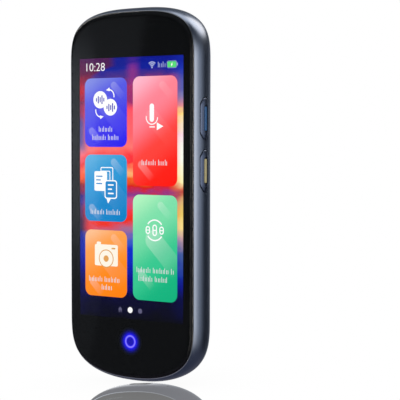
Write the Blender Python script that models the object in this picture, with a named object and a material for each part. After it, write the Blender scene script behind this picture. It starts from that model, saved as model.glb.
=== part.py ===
"""Handheld translator: a slim upright body with a touch screen in front, two side keys on its
right and a round speaker grille with a camera in its middle on the back.

Metres, +Z up along the body's length. The screen faces -Y and the keys face +X. The origin is
under the body's middle, on the plane that its lower end touches. A depth counts back from the
front of the cover glass.
"""

import math

import bmesh
import bpy
from mathutils import Matrix, Vector

# Body
HALF_WIDTH = 0.0280
LENGTH = 0.1314
THICKNESS = 0.0132
TOP_CAP_HEIGHT = 0.0206
BOTTOM_CAP_HEIGHT = 0.0242
TOP_CAP_POWERS = (3.05, 3.40)
BOTTOM_CAP_POWERS = (2.31, 3.44)
FRONT_ROUND_INSET = 0.0038
FRONT_ROUND_DEPTH = 0.0045
REAR_ROUND_INSET = 0.0062
REAR_ROUND_DEPTH = 0.0060
CAP_STEPS = 14
CAP_EASE_SHARE = 0.8
WALL = 0.0022

# Fits
LAYER_GAP = 0.00015
CLEARANCE = 0.0003
OVERRUN = 0.0010

# Cover glass and its adhesive frame
GLASS_EDGE_INSET = 0.0017
GLASS_THICKNESS = 0.0010
GLASS_EDGE_STEPS = 3
ADHESIVE_THICKNESS = 0.0003
ADHESIVE_WIDTH = 0.0020

# Display
SCREEN_BOTTOM = 0.0223
SCREEN_DROP = 0.0174
PANEL_SIDE_INSET = 0.0050
PANEL_MARGIN = 0.0011
PANEL_THICKNESS = 0.0013
BACKLIGHT_MARGIN = 0.0016
BACKLIGHT_THICKNESS = 0.00125
DISPLAY_CORNER = 0.0010
DISPLAY_FLEX_WIDTH = 0.0080
DISPLAY_FLEX_LAP = 0.0040
DISPLAY_FLEX_REACH = 0.0020

# Touch ring
TOUCH_DROP = 0.0079
TOUCH_OUTER_RADIUS = 0.0025
TOUCH_INNER_RADIUS = 0.0019
TOUCH_BOARD_WIDTH = 0.0120
TOUCH_BOARD_LENGTH = 0.0090
TOUCH_BOARD_THICKNESS = 0.0005
TOUCH_LIGHT_SIDE = 0.0016
TOUCH_LIGHT_THICKNESS = 0.0005

# Side frame
LIP_INSET = 0.00155
LEDGE_WIDTH = 0.0025
SEAM_RISE = 0.00235
SEAM_GAP = 0.0003
FRAME_STEPS = 3
MICROPHONE_HOLE_RADIUS = 0.0004

# Mid plate
PLATE_THICKNESS = 0.0007
PLATE_SCREW_INSET = 0.0036
PLATE_SCREW_SPACING = 0.0085

# Rear cover
COVER_WALL = 0.0012
COVER_STEPS = 5
SKIRT_DEPTH = 0.0013
SKIRT_WALL = 0.0009
SKIRT_SLOPE = 0.0012

# Speaker grille
GRILLE_RING_RADII = (0.0161, 0.0144, 0.0128, 0.0112, 0.0096)
GRILLE_RING_COUNTS = (48, 48, 48, 48, 24)
GRILLE_HOLE_RADIUS = 0.00043
GRILLE_HOLE_SIDES = 6
MESH_MARGIN = 0.0012
MESH_THICKNESS = 0.0002
GASKET_WIDTH = 0.0009
GASKET_THICKNESS = 0.0009
SPEAKER_WIDTH = 0.0200
SPEAKER_LENGTH = 0.0096
SPEAKER_CORNER = 0.0014
SPEAKER_RISE = 0.0022

# Camera
CAMERA_RING_RADIUS = 0.0049
CAMERA_RING_WALL = 0.0010
CAMERA_RING_CHAMFER = 0.0002
CAMERA_FLANGE_WIDTH = 0.0009
CAMERA_FLANGE_THICKNESS = 0.00045
CAMERA_SEAT_WIDTH = 0.0010
CAMERA_WINDOW_SINK = 0.0003
CAMERA_WINDOW_THICKNESS = 0.0006
CAMERA_BASE_SIDE = 0.0092
CAMERA_BASE_CORNER = 0.0008
CAMERA_BARREL_RADIUS = 0.0036
CAMERA_BARREL_HEIGHT = 0.00185
CAMERA_SPEAKER_SPACING = 0.0018
CAMERA_FLEX_SPACING = 0.0045
CAMERA_LENS_RADIUS = 0.0015
CAMERA_LENS_HEIGHT = 0.0006
LENS_SHARES = (0.35, 0.7, 0.9)

# Main board
BOARD_THICKNESS = 0.0008
BOARD_WALL_SPACING = 0.0032
BOARD_KEY_SPACING = 0.0009
BOARD_FOLD_SPACING = 0.00225
BOARD_CORNER = 0.0015
BOARD_SCREW_INSET = 0.0022
CAN_THICKNESS = 0.0002
CAN_HEIGHT = 0.0016
CAN_CORNER = 0.0006
CAN_SPACING = 0.0012
CAN_MARGIN = 0.0014
CHIP_MARGIN = 0.0010
CHIP_LENGTH = 0.0085
CHIP_THICKNESS = 0.0009

# Battery
BATTERY_SPACING = 0.0048
BATTERY_COVER_SPACING = 0.00155
BATTERY_CORNER = 0.0016
PROTECTION_LENGTH = 0.0030
PROTECTION_THICKNESS = 0.0034
PROTECTION_WIDTH = 0.0300
PROTECTION_SPACING = 0.0009
LEAD_WIDTH = 0.0040
LEAD_LAP = 0.0050

# Lower board and charging socket
LOWER_BOARD_WIDTH_SHARE = 0.535
LOWER_BOARD_BOTTOM = 0.0050
LOWER_BOARD_TOP = 0.0172
LOWER_BOARD_THICKNESS = 0.0006
SOCKET_WIDTH = 0.0089
SOCKET_HEIGHT = 0.0032
SOCKET_WALL = 0.0003
SOCKET_LENGTH = 0.0074
SOCKET_SINK = 0.0005
TONGUE_WIDTH = 0.0067
TONGUE_THICKNESS = 0.0007
TONGUE_SINK = 0.0011
TONGUE_BASE_LENGTH = 0.0014
MICROPHONE_WIDTH = 0.0030
MICROPHONE_LENGTH = 0.0022
MICROPHONE_THICKNESS = 0.0011
MICROPHONE_INSET = 0.0030
LOWER_FLEX_WIDTH = 0.0060
LOWER_FLEX_SPACING = 0.0006
FLEX_THICKNESS = 0.0002

# Aerial
CARRIER_MICROPHONE_SPACING = 0.0015
CARRIER_FOLD_SPACING = 0.00145
CARRIER_DROP = 0.0064
CARRIER_THICKNESS = 0.0036
CARRIER_CORNER = 0.0010
AERIAL_MARGIN = 0.0008

# Side keys and their switches
UPPER_KEY_DROP = 0.03895
KEY_SPACING = 0.00365
KEY_LENGTH = 0.0141
KEY_WIDTH = 0.0056
KEY_TAPER = 0.0021
KEY_TIP_WIDTH = 0.0018
KEY_ROUND = 0.0006
KEY_PROUD = 0.00035
KEY_CHAMFER = 0.00025
KEY_CAP_THICKNESS = 0.00175
KEY_TRAVEL = 0.0004
KEY_SWITCH_OFFSET = 0.00055
STRIP_LENGTH = 0.0082
STRIP_WIDTH = 0.0015
STRIP_THICKNESS = 0.0006
STRIP_PROUD = 0.0001
EAR_LENGTH = 0.0010
EAR_THICKNESS = 0.0006
KEY_BAR_WIDTH = 0.0024
NECK_LENGTH = 0.0096
SWITCH_LENGTH = 0.0040
SWITCH_WIDTH = 0.0026
SWITCH_HEIGHT = 0.0018
SWITCH_CORNER = 0.0003
PLUNGER_RADIUS = 0.0006
PLUNGER_REACH = 0.0011
PLUNGER_TAIL = 0.0007
KEY_BOARD_THICKNESS = 0.0004
KEY_BOARD_WIDTH = 0.0034
KEY_BOARD_MARGIN = 0.0034

# Screws
SCREW_HEAD_RADIUS = 0.0010
SCREW_HEAD_HEIGHT = 0.0005
SCREW_RADIUS = 0.0005
SCREW_DEPTH = 0.0015

# Roundness of the small round pieces and corners
SCREW_SIDES = 8
PLUNGER_SIDES = 16
LENS_SIDES = 16
TOUCH_SIDES = 24
CAMERA_SIDES = 32
GRILLE_SIDES = 40
CORNER_STEPS = 3
FINE_CORNER_STEPS = 4
KEY_CORNER_STEPS = 2
SHARP_ANGLE = math.radians(30)

# Depths worked out from the sizes above
ADHESIVE_FRONT = GLASS_THICKNESS + LAYER_GAP
LEDGE_FRONT = ADHESIVE_FRONT + ADHESIVE_THICKNESS + LAYER_GAP
PANEL_FRONT = GLASS_THICKNESS + LAYER_GAP
BACKLIGHT_FRONT = PANEL_FRONT + PANEL_THICKNESS + LAYER_GAP
BACKLIGHT_BACK = BACKLIGHT_FRONT + BACKLIGHT_THICKNESS
PLATE_FRONT = BACKLIGHT_BACK + LAYER_GAP
PLATE_BACK = PLATE_FRONT + PLATE_THICKNESS
BOARD_FRONT = PLATE_BACK + LAYER_GAP
BOARD_BACK = BOARD_FRONT + BOARD_THICKNESS
CHIP_FRONT = BOARD_BACK + LAYER_GAP
LOWER_BOARD_BACK = BOARD_FRONT + LOWER_BOARD_THICKNESS
SOCKET_DEPTH = LOWER_BOARD_BACK + LAYER_GAP + SOCKET_HEIGHT / 2
SEAM_DEPTH = THICKNESS - SEAM_RISE
COVER_INNER = THICKNESS - COVER_WALL
BATTERY_BACK = COVER_INNER - BATTERY_COVER_SPACING
MESH_BACK = COVER_INNER - LAYER_GAP
GASKET_BACK = MESH_BACK - MESH_THICKNESS - LAYER_GAP
GASKET_FRONT = GASKET_BACK - GASKET_THICKNESS
SWITCH_DEPTH = PLATE_BACK + CLEARANCE + KEY_BAR_WIDTH / 2
KEY_DEPTH = SWITCH_DEPTH - KEY_SWITCH_OFFSET

# Places across the body worked out from the sizes above
INNER_X = HALF_WIDTH - WALL
PANEL_HALF_WIDTH = HALF_WIDTH - PANEL_SIDE_INSET
LOWER_BOARD_HALF_WIDTH = HALF_WIDTH * LOWER_BOARD_WIDTH_SHARE
MICROPHONE_CENTRE = LOWER_BOARD_HALF_WIDTH - MICROPHONE_INSET
CARRIER_HALF_WIDTH = MICROPHONE_CENTRE - MICROPHONE_WIDTH / 2 - CARRIER_MICROPHONE_SPACING
LEAD_CENTRE = SPEAKER_WIDTH / 2 + CAN_SPACING + LEAD_WIDTH / 2
KEY_BAR_OUTER = INNER_X - CLEARANCE
KEY_BAR_INNER = KEY_BAR_OUTER - EAR_THICKNESS
PLUNGER_TIP = KEY_BAR_INNER - LAYER_GAP
SWITCH_FACE = PLUNGER_TIP - PLUNGER_REACH
SWITCH_BASE = SWITCH_FACE - SWITCH_HEIGHT
KEY_BOARD_FACE = SWITCH_BASE - LAYER_GAP
BOARD_LEFT = BOARD_WALL_SPACING - INNER_X
BOARD_RIGHT = KEY_BOARD_FACE - KEY_BOARD_THICKNESS - BOARD_KEY_SPACING

# Heights worked out from the sizes above, first from the top down and then from the bottom up
SCREEN_TOP = LENGTH - SCREEN_DROP
DISPLAY_EDGE = SCREEN_TOP + BACKLIGHT_MARGIN + LAYER_GAP
FOLD_HEIGHT = DISPLAY_EDGE + DISPLAY_FLEX_REACH
CARRIER_BOTTOM = FOLD_HEIGHT + CARRIER_FOLD_SPACING
CARRIER_TOP = LENGTH - CARRIER_DROP
BOARD_TOP = FOLD_HEIGHT - BOARD_FOLD_SPACING
CAMERA_TOP = BOARD_TOP - DISPLAY_FLEX_LAP - CAMERA_FLEX_SPACING
GRILLE_HEIGHT = CAMERA_TOP - CAMERA_BASE_SIDE / 2
SPEAKER_TOP = CAMERA_TOP - CAMERA_BASE_SIDE - CAMERA_SPEAKER_SPACING
SPEAKER_BOTTOM = SPEAKER_TOP - SPEAKER_LENGTH
BOARD_BOTTOM = SPEAKER_BOTTOM - SPEAKER_RISE
PROTECTION_TOP = BOARD_BOTTOM - PROTECTION_SPACING
PROTECTION_BOTTOM = PROTECTION_TOP - PROTECTION_LENGTH
BATTERY_TOP = PROTECTION_BOTTOM - LAYER_GAP
BATTERY_BOTTOM = LOWER_BOARD_TOP + BATTERY_SPACING
TOUCH_HEIGHT = SCREEN_BOTTOM - TOUCH_DROP
UPPER_KEY_HEIGHT = LENGTH - UPPER_KEY_DROP
LOWER_KEY_HEIGHT = UPPER_KEY_HEIGHT - KEY_LENGTH - KEY_SPACING
KEY_HEIGHTS = {"upper": UPPER_KEY_HEIGHT, "lower": LOWER_KEY_HEIGHT}
PLATE_SCREW_HEIGHTS = (
    BOTTOM_CAP_HEIGHT,
    LOWER_KEY_HEIGHT - KEY_LENGTH / 2 - PLATE_SCREW_SPACING,
    UPPER_KEY_HEIGHT + KEY_LENGTH / 2 + PLATE_SCREW_SPACING,
)

# Colour curve of a hex value: where its straight start ends, that start's slope and the rest's offset
CURVE_START_SHARE = 0.04045
CURVE_SLOPE_SHARE = 12.92
CURVE_OFFSET_SHARE = 0.055
CURVE_POWER_SHARE = 2.4

FINISHES = {
    "glass": ("#111214", 0.08, 0.0),
    "adhesive": ("#1b1b1d", 0.80, 0.0),
    "display": ("#1a2a8c", 0.25, 0.0),
    "white_plastic": ("#d8dade", 0.45, 0.0),
    "painted_metal": ("#5f6d87", 0.32, 0.6),
    "dark_metal": ("#4a5468", 0.35, 0.6),
    "blue_inlay": ("#2f66a8", 0.35, 0.0),
    "yellow_inlay": ("#c3b766", 0.35, 0.0),
    "steel": ("#b9bcc2", 0.30, 1.0),
    "silver": ("#d4d7db", 0.18, 1.0),
    "board": ("#1f5a3a", 0.55, 0.0),
    "chip": ("#202124", 0.50, 0.0),
    "flex": ("#a8742a", 0.45, 0.0),
    "battery": ("#9aa0a6", 0.40, 0.2),
    "black_plastic": ("#17181a", 0.50, 0.0),
    "foam": ("#2a2a2c", 0.95, 0.0),
    "lens": ("#0c0f16", 0.05, 0.0),
}


def clear_scene():
    for item in list(bpy.data.objects):
        bpy.data.objects.remove(item, do_unlink=True)


def linear(hex_colour):
    """The linear red, green and blue of a hex colour."""
    result = []
    for k in (1, 3, 5):
        value = int(hex_colour[k:k + 2], 16) / 255
        curved = (value + CURVE_OFFSET_SHARE) / (1 + CURVE_OFFSET_SHARE)
        result.append(value / CURVE_SLOPE_SHARE if value <= CURVE_START_SHARE
                      else curved ** CURVE_POWER_SHARE)
    return result


def finish(item, name):
    """Give an object its Principled material, made once for each finish."""
    material = bpy.data.materials.get(name)
    if material is None:
        colour, roughness, metallic = FINISHES[name]
        material = bpy.data.materials.new(name)
        material.use_nodes = True
        shader = material.node_tree.nodes["Principled BSDF"]
        shader.inputs["Base Color"].default_value = (*linear(colour), 1)
        shader.inputs["Roughness"].default_value = roughness
        shader.inputs["Metallic"].default_value = metallic
    item.data.materials.clear()
    item.data.materials.append(material)


def add_object(name, mesh, finish_name):
    """Close a bmesh into a named object, faces outwards, shaded smooth where it is round."""
    bmesh.ops.recalc_face_normals(mesh, faces=mesh.faces)
    data = bpy.data.meshes.new(name)
    mesh.to_mesh(data)
    mesh.free()
    data.shade_smooth()
    data.set_sharp_from_angle(angle=SHARP_ANGLE)
    item = bpy.data.objects.new(name, data)
    bpy.context.collection.objects.link(item)
    finish(item, finish_name)
    return item


def skin(mesh, rings, closed):
    """Bridge a row of point rings in order, then close its two ends or join them."""
    loops = [[mesh.verts.new(point) for point in ring] for ring in rings]
    for near, far in zip(loops, loops[1:] + loops[:1] if closed else loops[1:]):
        for k in range(len(near)):
            mesh.faces.new((near[k - 1], near[k], far[k], far[k - 1]))
    if not closed:
        mesh.faces.new(loops[0])
        mesh.faces.new(loops[-1])


def loft(name, rings, finish_name, closed=False):
    mesh = bmesh.new()
    skin(mesh, rings, closed)
    return add_object(name, mesh, finish_name)


def cut(target, name, prisms):
    """Take a set of separate prisms, each a pair of point rings, out of an object."""
    mesh = bmesh.new()
    for rings in prisms:
        skin(mesh, rings, False)
    cutter = add_object(name, mesh, "steel")
    cutter.hide_render = True
    cutter.display_type = "WIRE"
    modifier = target.modifiers.new(name, "BOOLEAN")
    modifier.operation = "DIFFERENCE"
    modifier.solver = "EXACT"
    modifier.object = cutter


def cap_quarter(centre_height, cap_height, powers, upwards):
    """Points and outward normals of one end's right half, from the side to the middle."""
    side_power, end_power = powers
    result = []
    for k in range(CAP_STEPS + 1):
        share = k / CAP_STEPS
        ease = CAP_EASE_SHARE * math.sin(2 * math.pi * share) / (2 * math.pi)
        turn = (share - ease) * math.pi / 2
        across = max(math.cos(turn), 0) ** (2 / side_power)
        along = math.sin(turn) ** (2 / end_power)
        normal = Vector((
            side_power * across ** (side_power - 1) / HALF_WIDTH,
            upwards * end_power * along ** (end_power - 1) / cap_height,
        )).normalized()
        point = Vector((HALF_WIDTH * across, centre_height + upwards * cap_height * along))
        result.append((point, normal))
    return result


def body_outline():
    """The widest outline with its normals, once round from the top of the right side."""
    top = cap_quarter(LENGTH - TOP_CAP_HEIGHT, TOP_CAP_HEIGHT, TOP_CAP_POWERS, 1)
    bottom = cap_quarter(BOTTOM_CAP_HEIGHT, BOTTOM_CAP_HEIGHT, BOTTOM_CAP_POWERS, -1)
    right = list(reversed(bottom)) + top
    flip = Vector((-1, 1))
    left = [(point * flip, normal * flip) for point, normal in reversed(right[1:-1])]
    return right + left


def outline_ring(inset, depth):
    """The body's outline moved inwards, as a ring of points at one depth."""
    points = [point - normal * inset for point, normal in body_outline()]
    return [(p.x, depth - THICKNESS / 2, p.y) for p in points]


def edge_inset(depth):
    """How far the outer surface lies inside the widest outline at a depth."""
    rear_start = THICKNESS - REAR_ROUND_DEPTH
    if depth < FRONT_ROUND_DEPTH:
        share = 1 - depth / FRONT_ROUND_DEPTH
        return FRONT_ROUND_INSET * (1 - math.sqrt(max(0, 1 - share ** 2)))
    if depth > rear_start:
        share = (depth - rear_start) / REAR_ROUND_DEPTH
        return REAR_ROUND_INSET * (1 - math.sqrt(max(0, 1 - share ** 2)))
    return 0


def front_depth(inset):
    """The depth at which the front rounding reaches an inset."""
    share = 1 - inset / FRONT_ROUND_INSET
    return FRONT_ROUND_DEPTH * (1 - math.sqrt(1 - share ** 2))


def surface_rings(start, end, steps, power=1):
    """Rings of the outer surface between two depths, closer near the end where power is over 1."""
    depths = [end + (start - end) * (1 - k / steps) ** power for k in range(steps + 1)]
    return [outline_ring(edge_inset(depth), depth) for depth in depths]


def rounded_rectangle(width, height, radius, steps=CORNER_STEPS):
    """Points (a, b) of a rectangle with round corners about its centre."""
    points = []
    for turn, (side_a, side_b) in enumerate(((1, 1), (-1, 1), (-1, -1), (1, -1))):
        centre = (side_a * (width / 2 - radius), side_b * (height / 2 - radius))
        for k in range(steps + 1):
            angle = (turn + k / steps) * math.pi / 2
            points.append((centre[0] + radius * math.cos(angle), centre[1] + radius * math.sin(angle)))
    return points


def circle(radius, sides):
    angles = [2 * math.pi * k / sides for k in range(sides)]
    return [(radius * math.cos(a), radius * math.sin(a)) for a in angles]


def face_ring(points, x, height, depth):
    """Points (a, b) laid across the body, facing the front or the back."""
    return [(x + a, depth - THICKNESS / 2, height + b) for a, b in points]


def side_ring(points, x, height, depth=KEY_DEPTH):
    """Points (a, b) laid on the body's right side, a along the body and b in depth."""
    return [(x, depth + b - THICKNESS / 2, height + a) for a, b in points]


def end_ring(points, x, height, depth):
    """Points (a, b) laid across the body's lower or upper end."""
    return [(x + a, depth + b - THICKNESS / 2, height) for a, b in points]


def block(name, finish_name, left, right, bottom, top, front, back, corner=CAN_CORNER):
    """A plate or box with round corners, seen from the front."""
    points = rounded_rectangle(right - left, top - bottom, corner)
    middle = ((left + right) / 2, (bottom + top) / 2)
    return loft(name, [face_ring(points, *middle, depth) for depth in (front, back)], finish_name)


def turned(name, finish_name, profile, x, height, sides, closed=False):
    """A round piece from its (radius, depth) profile, on an axis from front to back."""
    rings = [face_ring(circle(radius, sides), x, height, depth) for radius, depth in profile]
    return loft(name, rings, finish_name, closed)


def ribbon(name, finish_name, centre, width, path):
    """A flat flexible cable along a path of (height, depth) points."""
    route = [Vector(point) for point in path]
    rings = []
    for k, point in enumerate(route):
        way = (route[min(k + 1, len(route) - 1)] - route[max(k - 1, 0)]).normalized()
        side = Vector((-way.y, way.x)) * FLEX_THICKNESS / 2
        rings.append([
            (centre + sign_x * width / 2, (point + sign * side).y - THICKNESS / 2,
             (point + sign * side).x)
            for sign_x, sign in ((-1, -1), (1, -1), (1, 1), (-1, 1))
        ])
    return loft(name, rings, finish_name)


def screw(name, x, height, seat):
    """A small screw whose head stands on a plate at the given depth, driven towards the front."""
    head = seat + LAYER_GAP
    profile = (
        (SCREW_HEAD_RADIUS, head + SCREW_HEAD_HEIGHT), (SCREW_HEAD_RADIUS, head),
        (SCREW_RADIUS, head), (SCREW_RADIUS, head - SCREW_DEPTH),
    )
    return turned(name, "steel", profile, x, height, SCREW_SIDES)


def screw_bore(x, height, front, back):
    points = circle(SCREW_RADIUS + CLEARANCE, SCREW_SIDES)
    return [face_ring(points, x, height, depth) for depth in (front, back)]


def plate_screw_places():
    x = HALF_WIDTH - PLATE_SCREW_INSET
    return [(side * x, height) for height in PLATE_SCREW_HEIGHTS for side in (-1, 1)]


def board_screw_places():
    left = BOARD_LEFT + BOARD_SCREW_INSET
    right = BOARD_RIGHT - BOARD_SCREW_INSET
    return [(left, BOARD_TOP - BOARD_SCREW_INSET), (right, BOARD_TOP - BOARD_SCREW_INSET),
            (left, BOARD_BOTTOM + BOARD_SCREW_INSET)]


def lower_board_screw_places():
    x = LOWER_BOARD_HALF_WIDTH - BOARD_SCREW_INSET
    return [(side * x, LOWER_BOARD_TOP - BOARD_SCREW_INSET) for side in (-1, 1)]


def build_glass():
    edge = front_depth(GLASS_EDGE_INSET)
    rings = [outline_ring(GLASS_EDGE_INSET, GLASS_THICKNESS)]
    rings += surface_rings(edge, 0, GLASS_EDGE_STEPS, power=2)
    loft("cover_glass", rings, "glass")

    outer = GLASS_EDGE_INSET + LAYER_GAP
    corners = (
        (outer, ADHESIVE_FRONT), (outer, ADHESIVE_FRONT + ADHESIVE_THICKNESS),
        (outer + ADHESIVE_WIDTH, ADHESIVE_FRONT + ADHESIVE_THICKNESS),
        (outer + ADHESIVE_WIDTH, ADHESIVE_FRONT),
    )
    rings = [outline_ring(inset, depth) for inset, depth in corners]
    loft("glass_adhesive", rings, "adhesive", closed=True)


def build_display():
    block("display_panel", "display", -PANEL_HALF_WIDTH, PANEL_HALF_WIDTH,
          SCREEN_BOTTOM - PANEL_MARGIN, SCREEN_TOP + PANEL_MARGIN,
          PANEL_FRONT, PANEL_FRONT + PANEL_THICKNESS, DISPLAY_CORNER)
    block("display_backlight", "white_plastic", -PANEL_HALF_WIDTH, PANEL_HALF_WIDTH,
          SCREEN_BOTTOM - BACKLIGHT_MARGIN, SCREEN_TOP + BACKLIGHT_MARGIN,
          BACKLIGHT_FRONT, BACKLIGHT_BACK, DISPLAY_CORNER)

    front = BACKLIGHT_FRONT
    back = CHIP_FRONT + FLEX_THICKNESS / 2
    bend = DISPLAY_FLEX_REACH / 2
    path = ((DISPLAY_EDGE, front), (DISPLAY_EDGE + bend, front), (FOLD_HEIGHT, front + bend),
            (FOLD_HEIGHT, back - bend), (FOLD_HEIGHT - bend, back),
            (BOARD_TOP - DISPLAY_FLEX_LAP, back))
    ribbon("display_flex", "flex", 0, DISPLAY_FLEX_WIDTH, path)


def build_touch_ring():
    board_front = BACKLIGHT_BACK - TOUCH_BOARD_THICKNESS
    guide_back = board_front - LAYER_GAP
    profile = (
        (TOUCH_OUTER_RADIUS, PANEL_FRONT), (TOUCH_OUTER_RADIUS, guide_back),
        (TOUCH_INNER_RADIUS, guide_back), (TOUCH_INNER_RADIUS, PANEL_FRONT),
    )
    turned("touch_light_guide", "white_plastic", profile, 0, TOUCH_HEIGHT, TOUCH_SIDES,
           closed=True)
    half = TOUCH_LIGHT_SIDE / 2
    block("touch_light", "white_plastic", -half, half, TOUCH_HEIGHT - half, TOUCH_HEIGHT + half,
          guide_back - TOUCH_LIGHT_THICKNESS, guide_back, LAYER_GAP)
    block("touch_board", "board", -TOUCH_BOARD_WIDTH / 2, TOUCH_BOARD_WIDTH / 2,
          TOUCH_HEIGHT - TOUCH_BOARD_LENGTH / 2, TOUCH_HEIGHT + TOUCH_BOARD_LENGTH / 2,
          board_front, BACKLIGHT_BACK)


def key_outline(length, width, taper, tip_width, radius):
    """A long eight-sided outline with tapered ends and round corners, a along and b across."""
    corners = [Vector(c) for c in (
        (length / 2, tip_width / 2), (length / 2 - taper, width / 2),
        (taper - length / 2, width / 2), (-length / 2, tip_width / 2),
        (-length / 2, -tip_width / 2), (taper - length / 2, -width / 2),
        (length / 2 - taper, -width / 2), (length / 2, -tip_width / 2),
    )]
    points = []
    for k, corner in enumerate(corners):
        before = corner + (corners[k - 1] - corner).normalized() * radius
        after = corner + (corners[(k + 1) % len(corners)] - corner).normalized() * radius
        for step in range(KEY_CORNER_STEPS + 1):
            share = step / KEY_CORNER_STEPS
            points.append(before.lerp(corner, share).lerp(corner.lerp(after, share), share))
    return points


def key_shape(margin=0.0):
    """The key's outline, widened all round by a margin."""
    return key_outline(KEY_LENGTH + 2 * margin, KEY_WIDTH + 2 * margin, KEY_TAPER,
                       KEY_TIP_WIDTH + margin, KEY_ROUND)


def build_frame():
    lip = front_depth(LIP_INSET - LAYER_GAP)
    ledge_edge = WALL + LEDGE_WIDTH
    inner = (
        (WALL, SEAM_DEPTH), (WALL, BACKLIGHT_BACK), (ledge_edge, BACKLIGHT_BACK),
        (ledge_edge, LEDGE_FRONT), (LIP_INSET, LEDGE_FRONT), (LIP_INSET, lip),
    )
    rings = surface_rings(lip, FRONT_ROUND_DEPTH, FRAME_STEPS)
    rings += surface_rings(THICKNESS - REAR_ROUND_DEPTH, SEAM_DEPTH, FRAME_STEPS)
    rings += [outline_ring(inset, depth) for inset, depth in inner]
    frame = loft("side_frame", rings, "painted_metal", closed=True)

    prisms = [
        [side_ring(key_shape(CLEARANCE), x, height)
         for x in (HALF_WIDTH + OVERRUN, INNER_X - LAYER_GAP)]
        for height in KEY_HEIGHTS.values()
    ]
    prisms += [screw_bore(x, z, PLATE_FRONT - SCREW_DEPTH, BACKLIGHT_BACK + OVERRUN)
               for x, z in plate_screw_places()]
    socket = rounded_rectangle(SOCKET_WIDTH + 2 * CLEARANCE, SOCKET_HEIGHT + 2 * CLEARANCE,
                               SOCKET_HEIGHT / 2 + CLEARANCE - LAYER_GAP, FINE_CORNER_STEPS)
    prisms.append([end_ring(socket, 0, z, SOCKET_DEPTH) for z in (-OVERRUN, WALL + OVERRUN)])
    hole = circle(MICROPHONE_HOLE_RADIUS, GRILLE_HOLE_SIDES)
    lower_depth = LOWER_BOARD_BACK + LAYER_GAP + MICROPHONE_THICKNESS / 2
    prisms.append([end_ring(hole, MICROPHONE_CENTRE, z, lower_depth)
                   for z in (-OVERRUN, LOWER_BOARD_BOTTOM)])
    prisms.append([end_ring(hole, MICROPHONE_CENTRE, z, BOARD_FRONT + MICROPHONE_THICKNESS / 2)
                   for z in (upper_microphone_top(), LENGTH + OVERRUN)])
    cut(frame, "frame_cutter", prisms)


def upper_microphone_top():
    """The height of the inner end wall over the upper microphone, less a clearance."""
    share = (MICROPHONE_CENTRE + MICROPHONE_WIDTH / 2) / HALF_WIDTH
    side_power, end_power = TOP_CAP_POWERS
    rise = TOP_CAP_HEIGHT * (1 - share ** side_power) ** (1 / end_power)
    return LENGTH - TOP_CAP_HEIGHT + rise - WALL - 2 * CLEARANCE


def build_plate():
    rings = [outline_ring(WALL + CLEARANCE, depth) for depth in (PLATE_FRONT, PLATE_BACK)]
    plate = loft("mid_plate", rings, "steel")
    near, far = PLATE_FRONT - OVERRUN, PLATE_BACK + OVERRUN
    places = plate_screw_places() + board_screw_places() + lower_board_screw_places()
    prisms = [screw_bore(x, z, near, far) for x, z in places]
    slot = rounded_rectangle(DISPLAY_FLEX_WIDTH + 2 * CLEARANCE, FLEX_THICKNESS + 4 * CLEARANCE,
                             CLEARANCE)
    prisms.append([face_ring(slot, 0, FOLD_HEIGHT, depth) for depth in (near, far)])
    cut(plate, "plate_cutter", prisms)
    for number, (x, z) in enumerate(plate_screw_places(), 1):
        screw(f"mid_plate_screw_{number}", x, z, PLATE_BACK)


def build_cover():
    start = SEAM_DEPTH + SEAM_GAP
    skirt_outer = WALL + CLEARANCE
    skirt_inner = skirt_outer + SKIRT_WALL
    inner = (
        (skirt_inner + SKIRT_SLOPE, COVER_INNER), (skirt_inner, start),
        (skirt_inner, SEAM_DEPTH - SKIRT_DEPTH), (skirt_outer, SEAM_DEPTH - SKIRT_DEPTH),
        (skirt_outer, start),
    )
    rings = [outline_ring(inset, depth) for inset, depth in inner]
    rings += surface_rings(start, THICKNESS, COVER_STEPS, power=2)
    cover = loft("rear_cover", rings, "painted_metal")

    near, far = COVER_INNER - OVERRUN, THICKNESS + OVERRUN
    hole = circle(GRILLE_HOLE_RADIUS, GRILLE_HOLE_SIDES)
    camera_hole = circle(CAMERA_RING_RADIUS + CLEARANCE / 2, CAMERA_SIDES)
    prisms = [[face_ring(camera_hole, 0, GRILLE_HEIGHT, depth) for depth in (near, far)]]
    for number, (radius, count) in enumerate(zip(GRILLE_RING_RADII, GRILLE_RING_COUNTS)):
        for k in range(count):
            angle = 2 * math.pi * (k + number % 2 / 2) / count
            x, z = radius * math.sin(angle), GRILLE_HEIGHT + radius * math.cos(angle)
            prisms.append([face_ring(hole, x, z, depth) for depth in (near, far)])
    cut(cover, "cover_cutter", prisms)


def build_speaker():
    outer = GRILLE_RING_RADII[0] + MESH_MARGIN
    front, back = MESH_BACK - MESH_THICKNESS, MESH_BACK
    inner = GRILLE_RING_RADII[-1] - MESH_MARGIN
    profile = ((outer, front), (outer, back), (inner, back), (inner, front))
    turned("speaker_mesh", "black_plastic", profile, 0, GRILLE_HEIGHT, GRILLE_SIDES, closed=True)

    inner = outer - GASKET_WIDTH
    profile = ((outer, GASKET_FRONT), (outer, GASKET_BACK), (inner, GASKET_BACK),
               (inner, GASKET_FRONT))
    turned("speaker_gasket", "foam", profile, 0, GRILLE_HEIGHT, GRILLE_SIDES, closed=True)

    block("speaker_driver", "black_plastic", -SPEAKER_WIDTH / 2, SPEAKER_WIDTH / 2,
          SPEAKER_BOTTOM, SPEAKER_TOP, CHIP_FRONT, GASKET_FRONT - LAYER_GAP, SPEAKER_CORNER)


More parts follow.
